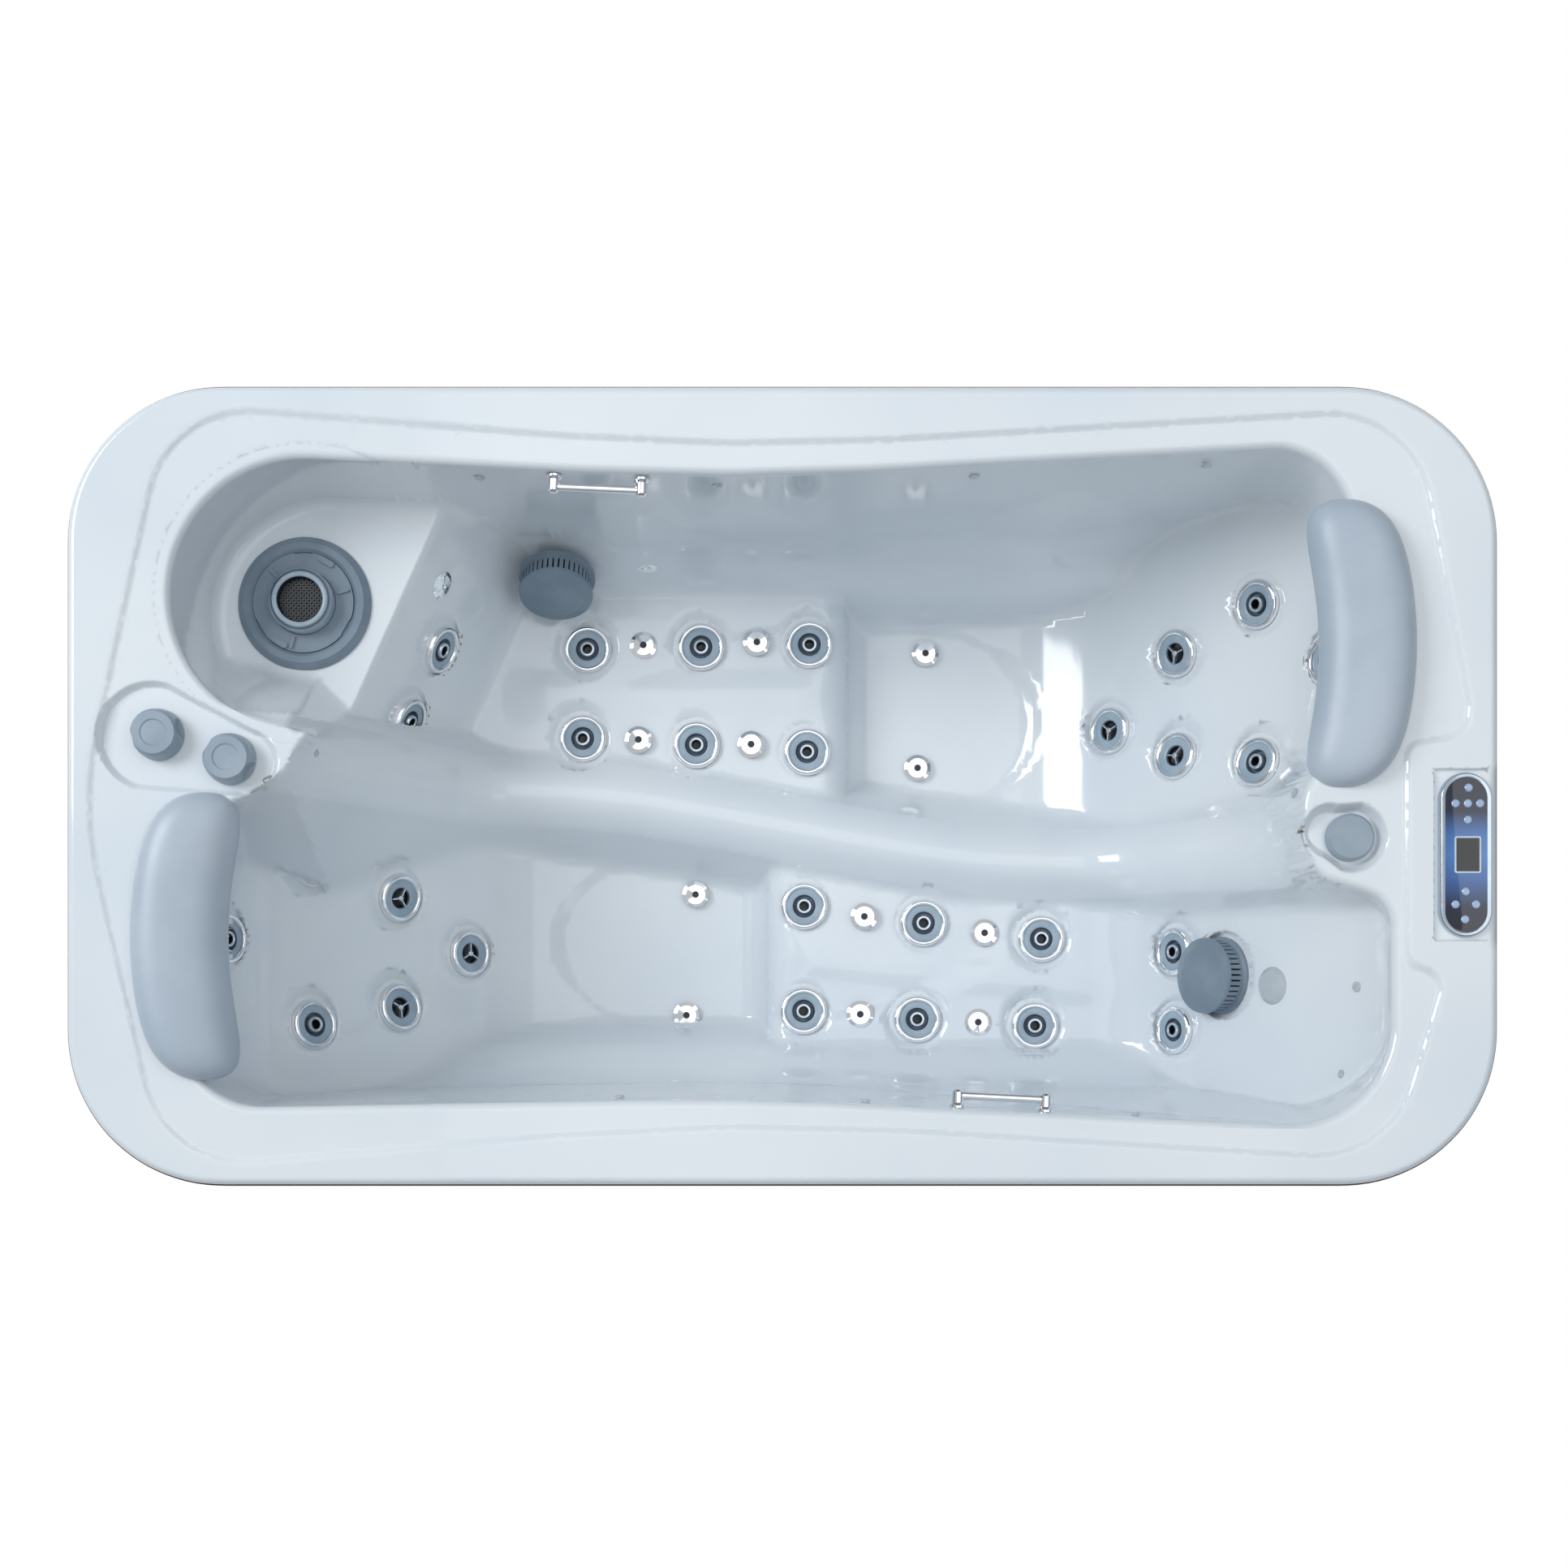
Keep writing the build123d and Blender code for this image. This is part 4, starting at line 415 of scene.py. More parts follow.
    # turned-down lip round the outside
    band = []
    bandNormals = []
    r = c["edgeRound"]
    lipDrop = c["top"] - c["lip"]
    roundRows = [(r - r * math.sin(a), r - r * math.cos(a), math.sin(a), math.cos(a))
                 for a in np.radians(np.linspace(0.0, 90.0, 8))]
    lipRows = [(0.0, r + 3.0, 1.0, 0.0), (0.0, lipDrop - 2.0, 1.0, 0.0), (1.0, lipDrop, 0.3, -0.95),
               (c["wall"], lipDrop, 0.0, -1.0), (c["wall"], 20.0, -1.0, 0.0)]
    for inset, drop, nx, nz in roundRows + lipRows:
        row = shifted(lipLine, inset)
        out = shifted(lipLine, -1.0) - lipLine
        h = np.full(len(row), c["top"] - drop)
        notch = np.minimum(row[:, 0] - recessEdge, recessHalf - np.abs(row[:, 1] - recessMiddle))
        h = np.where((notch > 0.0) & (h > recessFloor), recessFloor, h)
        band.append(np.column_stack([row, h]))
        bandNormals.append(np.column_stack([out * nx, np.full(len(row), nz)]))
    count = len(lipLine)
    base = len(verts)
    bandFaces = []
    for i in range(len(band) - 1):
        for j in range(count):
            k = (j + 1) % count
            a = base + i * count + j
            b = base + i * count + k
            bandFaces.append((a, a + count, b + count))
            bandFaces.append((a, b + count, b))
    allVerts = np.vstack([verts] + band) * mm
    allNormals = np.vstack([normals] + bandNormals)
    allNormals /= np.linalg.norm(allNormals, axis=1)[:, None]
    allFaces = np.vstack([faces, np.array(bandFaces)])
    mesh = bpy.data.meshes.new("tubShell")
    mesh.from_pydata(allVerts.tolist(), [], allFaces.tolist())
    mesh.update()
    first = mesh.polygons[0].normal.z
    if first < 0.0:
        mesh.flip_normals()
    mesh.shade_smooth()
    mesh.normals_split_custom_set_from_vertices(allNormals.tolist())
    shell = bpy.data.objects.new("tubShell", mesh)
    bpy.context.scene.collection.objects.link(shell)
    # hidden side, a coarser copy one wall thickness lower
    under = bpy.data.meshes.new("tubUnderside")
    coarse = bpy.data.objects.new("tubUnderside", under)
    bpy.context.scene.collection.objects.link(coarse)
    lower = verts - normals * c["wall"]
    under.from_pydata((lower * mm).tolist(), [], faces[:, ::-1].tolist())
    under.update()
    thin = coarse.modifiers.new("thin", "DECIMATE")
    thin.ratio = 0.16
    return shell, coarse


shellObj, undersideObj = buildShell()
print("shell faces", len(shellObj.data.polygons))


# looks: node groups shared by every finish, then the finishes

def shaderGroup(name, inputs, outputs):
    tree = bpy.data.node_groups.new(name, "ShaderNodeTree")
    for label, value in inputs:
        socket = tree.interface.new_socket(name=label, in_out="INPUT", socket_type="NodeSocketFloat")
        socket.default_value = value
    for label, kind in outputs:
        tree.interface.new_socket(name=label, in_out="OUTPUT", socket_type=kind)
    return tree, tree.nodes.new("NodeGroupInput"), tree.nodes.new("NodeGroupOutput")


# clouded tone, smudged gloss and fine grain, shared by every finish
def makeSoftWear():
    tree, into, out = shaderGroup(
        "softWear", [("Scale", 3.0), ("Grain", 300.0), ("Depth", 0.05)],
        [("Clouds", "NodeSocketFloat"), ("Smudge", "NodeSocketFloat"), ("Normal", "NodeSocketVector")])
    nodes, links = tree.nodes, tree.links
    coords = nodes.new("ShaderNodeTexCoord")
    clouds = nodes.new("ShaderNodeTexNoise")
    clouds.inputs["Detail"].default_value = 4.0
    links.new(coords.outputs["Object"], clouds.inputs["Vector"])
    links.new(into.outputs["Scale"], clouds.inputs["Scale"])
    spread = nodes.new("ShaderNodeMapRange")
    spread.inputs["From Min"].default_value = 0.38
    spread.inputs["From Max"].default_value = 0.62
    links.new(clouds.outputs["Fac"], spread.inputs["Value"])
    links.new(spread.outputs["Result"], out.inputs["Clouds"])
    wider = nodes.new("ShaderNodeMath")
    wider.operation = "MULTIPLY"
    wider.inputs[1].default_value = 6.0
    links.new(into.outputs["Scale"], wider.inputs[0])
    smudge = nodes.new("ShaderNodeTexNoise")
    smudge.inputs["Detail"].default_value = 3.0
    links.new(coords.outputs["Object"], smudge.inputs["Vector"])
    links.new(wider.outputs["Value"], smudge.inputs["Scale"])
    links.new(smudge.outputs["Fac"], out.inputs["Smudge"])
    grain = nodes.new("ShaderNodeTexNoise")
    links.new(coords.outputs["Object"], grain.inputs["Vector"])
    links.new(into.outputs["Grain"], grain.inputs["Scale"])
    bump = nodes.new("ShaderNodeBump")
    bump.inputs["Distance"].default_value = 0.0004
    links.new(into.outputs["Depth"], bump.inputs["Strength"])
    links.new(grain.outputs["Fac"], bump.inputs["Height"])
    links.new(bump.outputs["Normal"], out.inputs["Normal"])
    return tree


# dark joints between boards, a mask from the height
def makePlankLines():
    tree, into, out = shaderGroup(
        "plankLines", [("Pitch", 0.11), ("Joint", 0.05)], [("Joint", "NodeSocketFloat")])
    nodes, links = tree.nodes, tree.links
    coords = nodes.new("ShaderNodeTexCoord")
    split = nodes.new("ShaderNodeSeparateXYZ")
    links.new(coords.outputs["Object"], split.inputs["Vector"])
    over = nodes.new("ShaderNodeMath")
    over.operation = "DIVIDE"
    links.new(split.outputs["Z"], over.inputs[0])
    links.new(into.outputs["Pitch"], over.inputs[1])
    part = nodes.new("ShaderNodeMath")
    part.operation = "FRACT"
    links.new(over.outputs["Value"], part.inputs[0])
    line = nodes.new("ShaderNodeMath")
    line.operation = "LESS_THAN"
    links.new(part.outputs["Value"], line.inputs[0])
    links.new(into.outputs["Joint"], line.inputs[1])
    links.new(line.outputs["Value"], out.inputs["Joint"])
    return tree


softWear = makeSoftWear()
plankLines = makePlankLines()


def makeFinish(name, base, shade, rough, metal=0.0, coat=0.0, scale=3.0, grain=300.0, depth=0.05, swing=0.06,
               sheen=0.0):
    mat = bpy.data.materials.new(name)
    mat.use_nodes = True
    nodes, links = mat.node_tree.nodes, mat.node_tree.links
    shader = nodes["Principled BSDF"]
    wear = nodes.new("ShaderNodeGroup")
    wear.node_tree = softWear
    wear.inputs["Scale"].default_value = scale
    wear.inputs["Grain"].default_value = grain
    wear.inputs["Depth"].default_value = depth
    tint = nodes.new("ShaderNodeMix")
    tint.data_type = "RGBA"
    tint.inputs[6].default_value = (*base, 1.0)
    tint.inputs[7].default_value = (*shade, 1.0)
    links.new(wear.outputs["Clouds"], tint.inputs[0])
    links.new(tint.outputs[2], shader.inputs["Base Color"])
    gloss = nodes.new("ShaderNodeMapRange")
    gloss.inputs["To Min"].default_value = max(0.0, rough - swing)
    gloss.inputs["To Max"].default_value = rough + swing
    links.new(wear.outputs["Smudge"], gloss.inputs["Value"])
    links.new(gloss.outputs["Result"], shader.inputs["Roughness"])
    links.new(wear.outputs["Normal"], shader.inputs["Normal"])
    shader.inputs["Metallic"].default_value = metal
    shader.inputs["Coat Weight"].default_value = coat
    shader.inputs["Coat Roughness"].default_value = 0.05
    shader.inputs["Sheen Weight"].default_value = sheen
    return mat


def addPlanks(mat, dark):
    nodes, links = mat.node_tree.nodes, mat.node_tree.links
    shader = nodes["Principled BSDF"]
    lines = nodes.new("ShaderNodeGroup")
    lines.node_tree = plankLines
    before = shader.inputs["Base Color"].links[0].from_socket
    mix = nodes.new("ShaderNodeMix")
    mix.data_type = "RGBA"
    mix.inputs[7].default_value = (*dark, 1.0)
    links.new(lines.outputs["Joint"], mix.inputs[0])
    links.new(before, mix.inputs[6])
    links.new(mix.outputs[2], shader.inputs["Base Color"])


acrylicMat = makeFinish(
    "acrylicMat", (0.70, 0.755, 0.80), (0.625, 0.695, 0.76), 0.12,
    coat=0.35, scale=1.6, grain=60.0, depth=0.02
)
undersideMat = makeFinish(
    "undersideMat", (0.42, 0.42, 0.38), (0.33, 0.33, 0.30), 0.6, scale=9.0, grain=220.0, depth=0.5
)
chromeMat = makeFinish(
    "chromeMat", (0.90, 0.91, 0.93), (0.84, 0.86, 0.89), 0.07, metal=1.0, scale=20.0, depth=0.0, swing=0.03
)
knobMat = makeFinish(
    "knobMat", (0.30, 0.37, 0.44), (0.25, 0.32, 0.39), 0.34, scale=14.0, grain=900.0, depth=0.12
)
# the slate of the knobs made darker as painted shade, for the filter and suction covers down in the basin
basinShadeSlateMat = makeFinish(
    "basinShadeSlateMat", (0.20, 0.26, 0.32), (0.16, 0.215, 0.275), 0.34, scale=14.0, grain=900.0, depth=0.12
)
# the slate darkened further as painted shade, for the grooves of the jets and the weir and the rims round
# holes
grooveShadeSlateMat = makeFinish(
    "grooveShadeSlateMat", (0.12, 0.16, 0.21), (0.08, 0.11, 0.15), 0.4, scale=18.0, grain=900.0, depth=0.12
)
faceMat = makeFinish(
    "faceMat", (0.33, 0.42, 0.50), (0.27, 0.36, 0.44), 0.32, scale=24.0, grain=900.0, depth=0.08
)
# near black painted shade, standing for the dark inside of the jet nozzles, the injector bores and the weir's
# mouth
holeShadeMat = makeFinish("holeShadeMat", (0.008, 0.009, 0.012), (0.012, 0.013, 0.016), 0.35, scale=20.0)
pillowMat = makeFinish(
    "pillowMat", (0.43, 0.50, 0.58), (0.375, 0.45, 0.535), 0.38,
    scale=6.0, grain=500.0, depth=0.16, sheen=0.15
)
cabinetMat = makeFinish(
    "cabinetMat", (0.060, 0.045, 0.038), (0.042, 0.031, 0.026), 0.5, scale=5.0, grain=120.0, depth=0.5
)
addPlanks(cabinetMat, (0.012, 0.009, 0.008))
trayMat = makeFinish("trayMat", (0.035, 0.036, 0.038), (0.05, 0.05, 0.052), 0.55, scale=7.0, depth=0.3)
frameMat = makeFinish(
    "frameMat", (0.50, 0.52, 0.54), (0.40, 0.42, 0.44), 0.38, metal=0.9, scale=8.0, depth=0.1
)
fittingMat = makeFinish("fittingMat", (0.10, 0.11, 0.12), (0.07, 0.08, 0.09), 0.45, scale=12.0, depth=0.2)
filterClothMat = makeFinish(
    "filterClothMat", (0.72, 0.75, 0.78), (0.60, 0.64, 0.68), 0.85, scale=9.0, grain=700.0, depth=0.6
)
pumpMat = makeFinish("pumpMat", (0.045, 0.047, 0.052), (0.07, 0.072, 0.078), 0.4, scale=9.0, depth=0.2)
boxMat = makeFinish("boxMat", (0.30, 0.32, 0.34), (0.25, 0.27, 0.29), 0.5, scale=6.0, depth=0.2)
pipeMat = makeFinish("pipeMat", (0.68, 0.70, 0.72), (0.60, 0.62, 0.65), 0.32, scale=8.0, depth=0.1)
silverMat = makeFinish(
    "silverMat", (0.58, 0.66, 0.74), (0.50, 0.58, 0.67), 0.2, metal=0.75, scale=20.0, depth=0.02
)
paleFrameMat = makeFinish("paleFrameMat", (0.55, 0.64, 0.74), (0.50, 0.60, 0.70), 0.3, scale=30.0)
screenMat = makeFinish(
    "screenMat", (0.010, 0.010, 0.013), (0.014, 0.014, 0.018), 0.12, coat=0.4, scale=30.0, depth=0.0
)
buttonMat = makeFinish(
    "buttonMat", (0.34, 0.46, 0.66), (0.26, 0.38, 0.58), 0.12, coat=0.6, scale=60.0, depth=0.0
)
lensMat = makeFinish(
    "lensMat", (0.86, 0.91, 0.95), (0.80, 0.86, 0.92), 0.06, coat=0.5, scale=20.0, depth=0.02
)
lensMat.node_tree.nodes["Principled BSDF"].inputs["Transmission Weight"].default_value = 0.65

shellObj.data.materials.append(acrylicMat)
undersideObj.data.materials.append(undersideMat)
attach(shellObj, "tub")
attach(undersideObj, "tub")
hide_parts("acrylic_shell")
print("shell and finishes done")


def newObject(name, verts, faces, mats, bands=None, sharp=38.0):
    mesh = bpy.data.meshes.new(name)
    mesh.from_pydata([tuple(v) for v in verts], [], faces)
    for mat in mats:
        mesh.materials.append(mat)
    if bands is not None:
        mesh.polygons.foreach_set("material_index", bands)
    mesh.update()
    mesh.shade_smooth()
    mesh.set_sharp_from_angle(angle=math.radians(sharp))
    obj = bpy.data.objects.new(name, mesh)
    bpy.context.scene.collection.objects.link(obj)
    return obj


# solid of revolution from (radius, height, material) steps, in mm
def turnedParts(outline, count):
    verts, faces, bands = [], [], []
    rings = []
    for radius, height, _ in outline:
        if radius < 0.01:
            rings.append([len(verts)] * count)
            verts.append((0.0, 0.0, height * mm))
            continue
        rings.append(list(range(len(verts), len(verts) + count)))
        for k in range(count):
            a = 2.0 * math.pi * k / count
            verts.append((radius * mm * math.cos(a), radius * mm * math.sin(a), height * mm))
    for i in range(len(rings) - 1):
        for k in range(count):
            n = (k + 1) % count
            quad = [rings[i][k], rings[i][n], rings[i + 1][n], rings[i + 1][k]]
            face = tuple(dict.fromkeys(quad))
            if len(face) > 2:
                faces.append(face)
                bands.append(outline[i + 1][2])
    return verts, faces, bands


def standOn(obj, origin, normal, spin=0.0):
    turn = Vector(normal).to_track_quat("Z", "Y").to_matrix().to_4x4()
    obj.matrix_world = Matrix.Translation(Vector(origin) * mm) @ turn @ Matrix.Rotation(spin, 4, "Z")


# turning jets: chrome ring, blue-grey face, a well with a nozzle or three spokes; the groove inside the face
# is slate darkened as painted shade, and in the nozzle jets the bore, in the spoke jets the floor under the
# spokes, is painted black as the shade inside the jet
jetCfg = {
    "ring": [(40.3, 0.9, 0), (40.4, 3.6, 0), (39.8, 6.0, 0), (38.4, 8.2, 0), (36.6, 9.6, 0), (34.6, 10.0, 0),
             (32.8, 9.4, 0), (31.4, 8.0, 0), (30.8, 6.2, 0)],
    "nozzle": [(30.6, 5.6, 1), (27.0, 6.2, 1), (21.0, 6.4, 1), (19.6, 5.6, 1), (18.6, 3.0, 2),
               (17.0, -2.0, 2),
               (14.0, -2.5, 2), (13.4, 4.0, 2), (12.9, 7.8, 3), (11.6, 9.6, 3), (9.2, 9.9, 3), (7.6, 8.6, 3),
               (7.0, 6.0, 4), (6.4, -8.0, 4), (0.0, -9.0, 4)],
    "spokes": [(30.6, 5.6, 1), (27.0, 6.2, 1), (19.5, 6.4, 1), (17.6, 5.2, 1), (16.2, 2.5, 2),
               (15.0, -5.0, 4), (0.0, -8.0, 4)],
    "steps": 56, "spokeWidth": 3.2, "spokeTop": 6.8, "hub": 4.6,
}
jetMats = [chromeMat, faceMat, grooveShadeSlateMat, silverMat, holeShadeMat]


def jetMesh(kind):
    c = jetCfg
    verts, faces, bands = turnedParts(c["ring"] + c[kind], c["steps"])
    if kind == "spokes":
        for k in range(3):
            a = 2.0 * math.pi * k / 3 + 0.5
            along = np.array([math.cos(a), math.sin(a), 0.0])
            across = np.array([-along[1], along[0], 0.0])
            base = len(verts)
            for run in (1.5, 17.0):
                for side, height in ((-0.5, 0.0), (-0.32, 1.0), (0.32, 1.0), (0.5, 0.0), (0.5, -5.0),
                                     (-0.5, -5.0)):
                    p = along * run + across * side * c["spokeWidth"]
                    verts.append(tuple((p + [0.0, 0.0, c["spokeTop"] - 1.0 + height]) * mm))
            for j in range(6):
                faces.append((base + j, base + (j + 1) % 6, base + 6 + (j + 1) % 6, base + 6 + j))
                bands.append(3)
        base = len(verts)
        hub = [(c["hub"], 1.0, 3), (c["hub"], 6.6, 3), (3.2, 8.0, 3), (0.0, 8.3, 3)]
        more, moreFaces, moreBands = turnedParts(hub, 20)
        verts += more
        faces += [tuple(base + i for i in f) for f in moreFaces]
        bands += moreBands
    obj = newObject("jet" + kind, verts, faces, jetMats, bands)
    mesh = obj.data
    bpy.data.objects.remove(obj)
    return mesh


jetMeshes = {kind: jetMesh(kind) for kind in ("nozzle", "spokes")}
random = np.random.default_rng(12)
for node, (seat, normal) in jetSpots.items():
    kind = "spokes" if node[-6:] in ("back_1", "back_2", "back_3") else "nozzle"
    jet = bpy.data.objects.new(node + "Face", jetMeshes[kind])
    bpy.context.scene.collection.objects.link(jet)
    standOn(jet, seat, normal, float(random.uniform(0.0, 6.28)))
    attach(jet, node)
    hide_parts(node)
print("jets", len(jetSpots))


# head pillows, a crowned crescent that rests on the rim
pillowCfg = {
    "halfLength": 212.0, "halfWidth": 70.0, "halfHeight": 46.0, "bow": 39.0, "tilt": 16.0, "middle": 748.0,
    "rows": 30, "round": 32, "lift": 1.5,
}


def buildPillow(node, middleX, middleY, side):
    c = pillowCfg
    verts, faces = [], []
    tilt = math.radians(side * c["tilt"])
    for i in range(c["rows"]):
        t = math.sin(math.pi / 2.0 * (-1.0 + 2.0 * i / (c["rows"] - 1))) * 0.997
        size = (1.0 - abs(t) ** 7) ** 0.45
        cx = middleX - side * c["bow"] * t * t
        cy = middleY + t * c["halfLength"]
        for j in range(c["round"]):
            a = 2.0 * math.pi * j / c["round"]
            ca, sa = math.cos(a), math.sin(a)
            u = math.copysign(abs(ca) ** 0.86, ca) * c["halfWidth"] * size
            w = math.copysign(abs(sa) ** 0.92, sa) * c["halfHeight"] * size
            verts.append([cx + u * math.cos(tilt) - w * math.sin(tilt), cy,
                          c["middle"] + u * math.sin(tilt) + w * math.cos(tilt)])
    verts = np.array(verts)
    under = shellHeight(verts[:, 0].copy(), verts[:, 1].copy()) + c["lift"]
    inBasin = insideDistance(verts[:, 0], verts[:, 1], basinLine) > 4.0
    verts[:, 2] = np.where(inBasin, verts[:, 2], np.maximum(verts[:, 2], under))
    for i in range(c["rows"] - 1):
        for j in range(c["round"]):
            k = (j + 1) % c["round"]
            a = i * c["round"]
            faces.append((a + j, a + c["round"] + j, a + c["round"] + k, a + k))
    last = (c["rows"] - 1) * c["round"]
    faces.append(tuple(range(c["round"])))
    faces.append(tuple(range(last + c["round"] - 1, last - 1, -1)))
    pillow = newObject(node + "Soft", verts * mm, faces, [pillowMat], sharp=75.0)
    smooth = pillow.modifiers.new("smooth", "SUBSURF")
    smooth.levels = 1
    smooth.render_levels = 2
    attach(pillow, node)
    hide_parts(node)
    return pillow


for node, middleX, middleY, side in (("pillow_east", 861.0, 209.0, 1), ("pillow_west", -887.0, -221.0, -1)):
    buildPillow(node, middleX, middleY, side)
print("pillows done")


# control panel: silver surround, black and blue face, display
panelCfg = {"x": 1002.0, "y": -102.0, "half": 121.0, "width": 39.0, "low": 753.2, "top": 762.2}


def stadium(halfLength, radius, count=28):
    line = []
    for k in range(count + 1):
        a = math.pi * k / count
        line.append((radius * math.cos(a), halfLength - radius + radius * math.sin(a)))
    for k in range(count + 1):
        a = math.pi + math.pi * k / count
        line.append((radius * math.cos(a), radius - halfLength + radius * math.sin(a)))
    return line


def roundRect(halfX, halfY, radius, count=6):
    line = []
    for quarter, (sx, sy) in enumerate(((1, 1), (-1, 1), (-1, -1), (1, -1))):
        for k in range(count + 1):
            a = math.pi / 2.0 * (quarter + k / count)
            line.append((sx * (halfX - radius) + radius * math.cos(a),
                         sy * (halfY - radius) + radius * math.sin(a)))
    return line


def stackedRings(name, rings, mats, bands, middle):
    verts, faces, index = [], [], []
    count = len(rings[0][0])
    for line, height in rings:
        verts += [((middle[0] + x) * mm, (middle[1] + y) * mm, height * mm) for x, y in line]
    for i in range(len(rings) - 1):
        for j in range(count):
            k = (j + 1) % count
            faces.append((i * count + j, i * count + k, (i + 1) * count + k, (i + 1) * count + j))
            index.append(bands[i])
    faces.append(tuple(range((len(rings) - 1) * count, len(rings) * count)))
    index.append(bands[-1])
    obj = newObject(name, verts, faces, mats, index, sharp=32.0)
    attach(obj, "tub")
    return obj


def gradientFace():
    mat = makeFinish("panelFaceMat", (0.012, 0.014, 0.022), (0.016, 0.018, 0.028), 0.1,
                     coat=0.6, scale=30.0, depth=0.0)
    nodes, links = mat.node_tree.nodes, mat.node_tree.links
    shader = nodes["Principled BSDF"]
    coords = nodes.new("ShaderNodeTexCoord")
    split = nodes.new("ShaderNodeSeparateXYZ")
    links.new(coords.outputs["Object"], split.inputs["Vector"])
    along = nodes.new("ShaderNodeMapRange")
    along.inputs["From Min"].default_value = (panelCfg["y"] - panelCfg["half"]) * mm
    along.inputs["From Max"].default_value = (panelCfg["y"] + panelCfg["half"]) * mm
    links.new(split.outputs["Y"], along.inputs["Value"])
    ramp = nodes.new("ShaderNodeValToRGB")
    stops = [
        (0.0, (0.008, 0.010, 0.018)), (0.18, (0.010, 0.016, 0.04)), (0.36, (0.045, 0.13, 0.36)),
        (0.5, (0.07, 0.20, 0.50)), (0.62, (0.055, 0.16, 0.42)), (0.76, (0.010, 0.018, 0.05)),
        (1.0, (0.008, 0.009, 0.014)),
    ]
    ramp.color_ramp.elements[0].position = stops[0][0]
    ramp.color_ramp.elements[0].color = (*stops[0][1], 1.0)
    ramp.color_ramp.elements[1].position = stops[-1][0]
    ramp.color_ramp.elements[1].color = (*stops[-1][1], 1.0)
    for place, colour in stops[1:-1]:
        stop = ramp.color_ramp.elements.new(place)
        stop.color = (*colour, 1.0)
    links.new(along.outputs["Result"], ramp.inputs["Fac"])
    links.new(ramp.outputs["Color"], shader.inputs["Base Color"])
    return mat


p = panelCfg
middle = (p["x"], p["y"])
bezel = stackedRings("panelBezel", [
    (stadium(p["half"], p["width"]), p["low"]),
    (stadium(p["half"], p["width"]), p["top"] - 4.0),
    (stadium(p["half"] - 1.0, p["width"] - 1.0), p["top"] - 1.6),
    (stadium(p["half"] - 3.0, p["width"] - 3.0), p["top"]),
    (stadium(p["half"] - 6.0, p["width"] - 6.5), p["top"] - 0.2),
    (stadium(p["half"] - 7.0, p["width"] - 8.0), p["top"] - 0.9),
], [silverMat, gradientFace()], [0, 0, 0, 0, 0, 1], middle)
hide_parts("topside_panel")
screenAt = (p["x"] + 2.0, p["y"])
stackedRings("displayFrame", [
    (roundRect(19.5, 27.0, 3.0), p["top"] - 1.0), (roundRect(19.5, 27.0, 3.0), p["top"] + 0.1),
    (roundRect(17.0, 24.5, 1.5), p["top"] + 0.1), (roundRect(17.0, 24.5, 1.5), p["top"] - 0.6),
], [paleFrameMat, screenMat], [0, 0, 0, 1], screenAt)
print("panel done")


# floating weir: double ring with a dark woven grille in its mouth; the groove between the rings and the lip
# of the mouth are slate darkened as painted shade, and the mouth's wall and floor under the grille are
# painted black as shade
weirCfg = {"x": -746.0, "y": 306.0, "top": 600.0, "mouth": 35.0, "grille": 583.0, "pitch": 5.6, "bar": 0.9}


def buildWeir():
    c = weirCfg
    verts, faces, bands = turnedParts([
        (49.8, -58.0, 0), (49.8, -9.0, 0), (49.2, -6.0, 0), (47.6, -3.6, 0), (45.4, -3.0, 1), (44.6, -4.6, 1),
        (43.8, -4.6, 1), (43.2, -1.6, 0), (41.8, -0.3, 0), (39.5, 0.0, 0), (37.0, -0.3, 0), (35.6, -1.4, 0),
        (c["mouth"], -3.0, 1), (c["mouth"] - 1.0, c["grille"] - c["top"] - 2.0, 2),
        (0.0, c["grille"] - c["top"] - 2.0, 2),
    ], 72)
    height = c["grille"] - c["top"]
    for turn in (45.0, 135.0):
        a = math.radians(turn)
        along = np.array([math.cos(a), math.sin(a)])
        across = np.array([-along[1], along[0]])
        for k in range(-6, 7):
            off = k * c["pitch"]
            half = math.sqrt(max(0.0, (c["mouth"] - 1.0) ** 2 - off * off))
            base = len(verts)
            for run in (-half, half):
                for side, up in ((-1, -1), (1, -1), (1, 1), (-1, 1)):
                    p = along * run + across * (off + side * c["bar"])
                    verts.append((p[0] * mm, p[1] * mm, (height + up * 0.7) * mm))
            for j in range(4):
                faces.append((base + j, base + (j + 1) % 4, base + 4 + (j + 1) % 4, base + 4 + j))
                bands.append(3)
    weir = newObject("weirRing", verts, faces, [faceMat, grooveShadeSlateMat, holeShadeMat, fittingMat], bands)
    weir.location = (c["x"] * mm, c["y"] * mm, c["top"] * mm)
    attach(weir, "skimmer_weir")
    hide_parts("skimmer_weir")


buildWeir()


# black discs on the floor injectors, painted shade for the inside of their bores, with a rim of slate
# darkened as painted shade, and a dark band under the lip painted as the lip's shadow line
injectorSpots = [(-238.6, 298.0, 250.0), (-44.0, 303.0, 250.0), (-247.0, 136.0, 250.0), (-54.0, 128.0, 250.0),
                 (251.0, 300.0, 160.0), (237.0, 98.5, 160.0), (140.0, -167.0, 250.0), (346.0, -195.0, 250.0),
                 (133.0, -334.5, 250.0), (335.0, -348.0, 250.0), (-153.0, -124.0, 160.0),
                 (-169.0, -336.0, 160.0)]
boreOutline = [(5.8, 4.6, 1), (5.4, 5.1, 1), (4.9, 4.9, 1), (4.6, 4.4, 0), (0.0, 4.2, 0)]
verts, faces, bands = turnedParts(boreOutline, 24)
boreObj = newObject("injectorBore", verts, faces, [holeShadeMat, grooveShadeSlateMat], bands)
boreMesh = boreObj.data
bpy.data.objects.remove(boreObj)
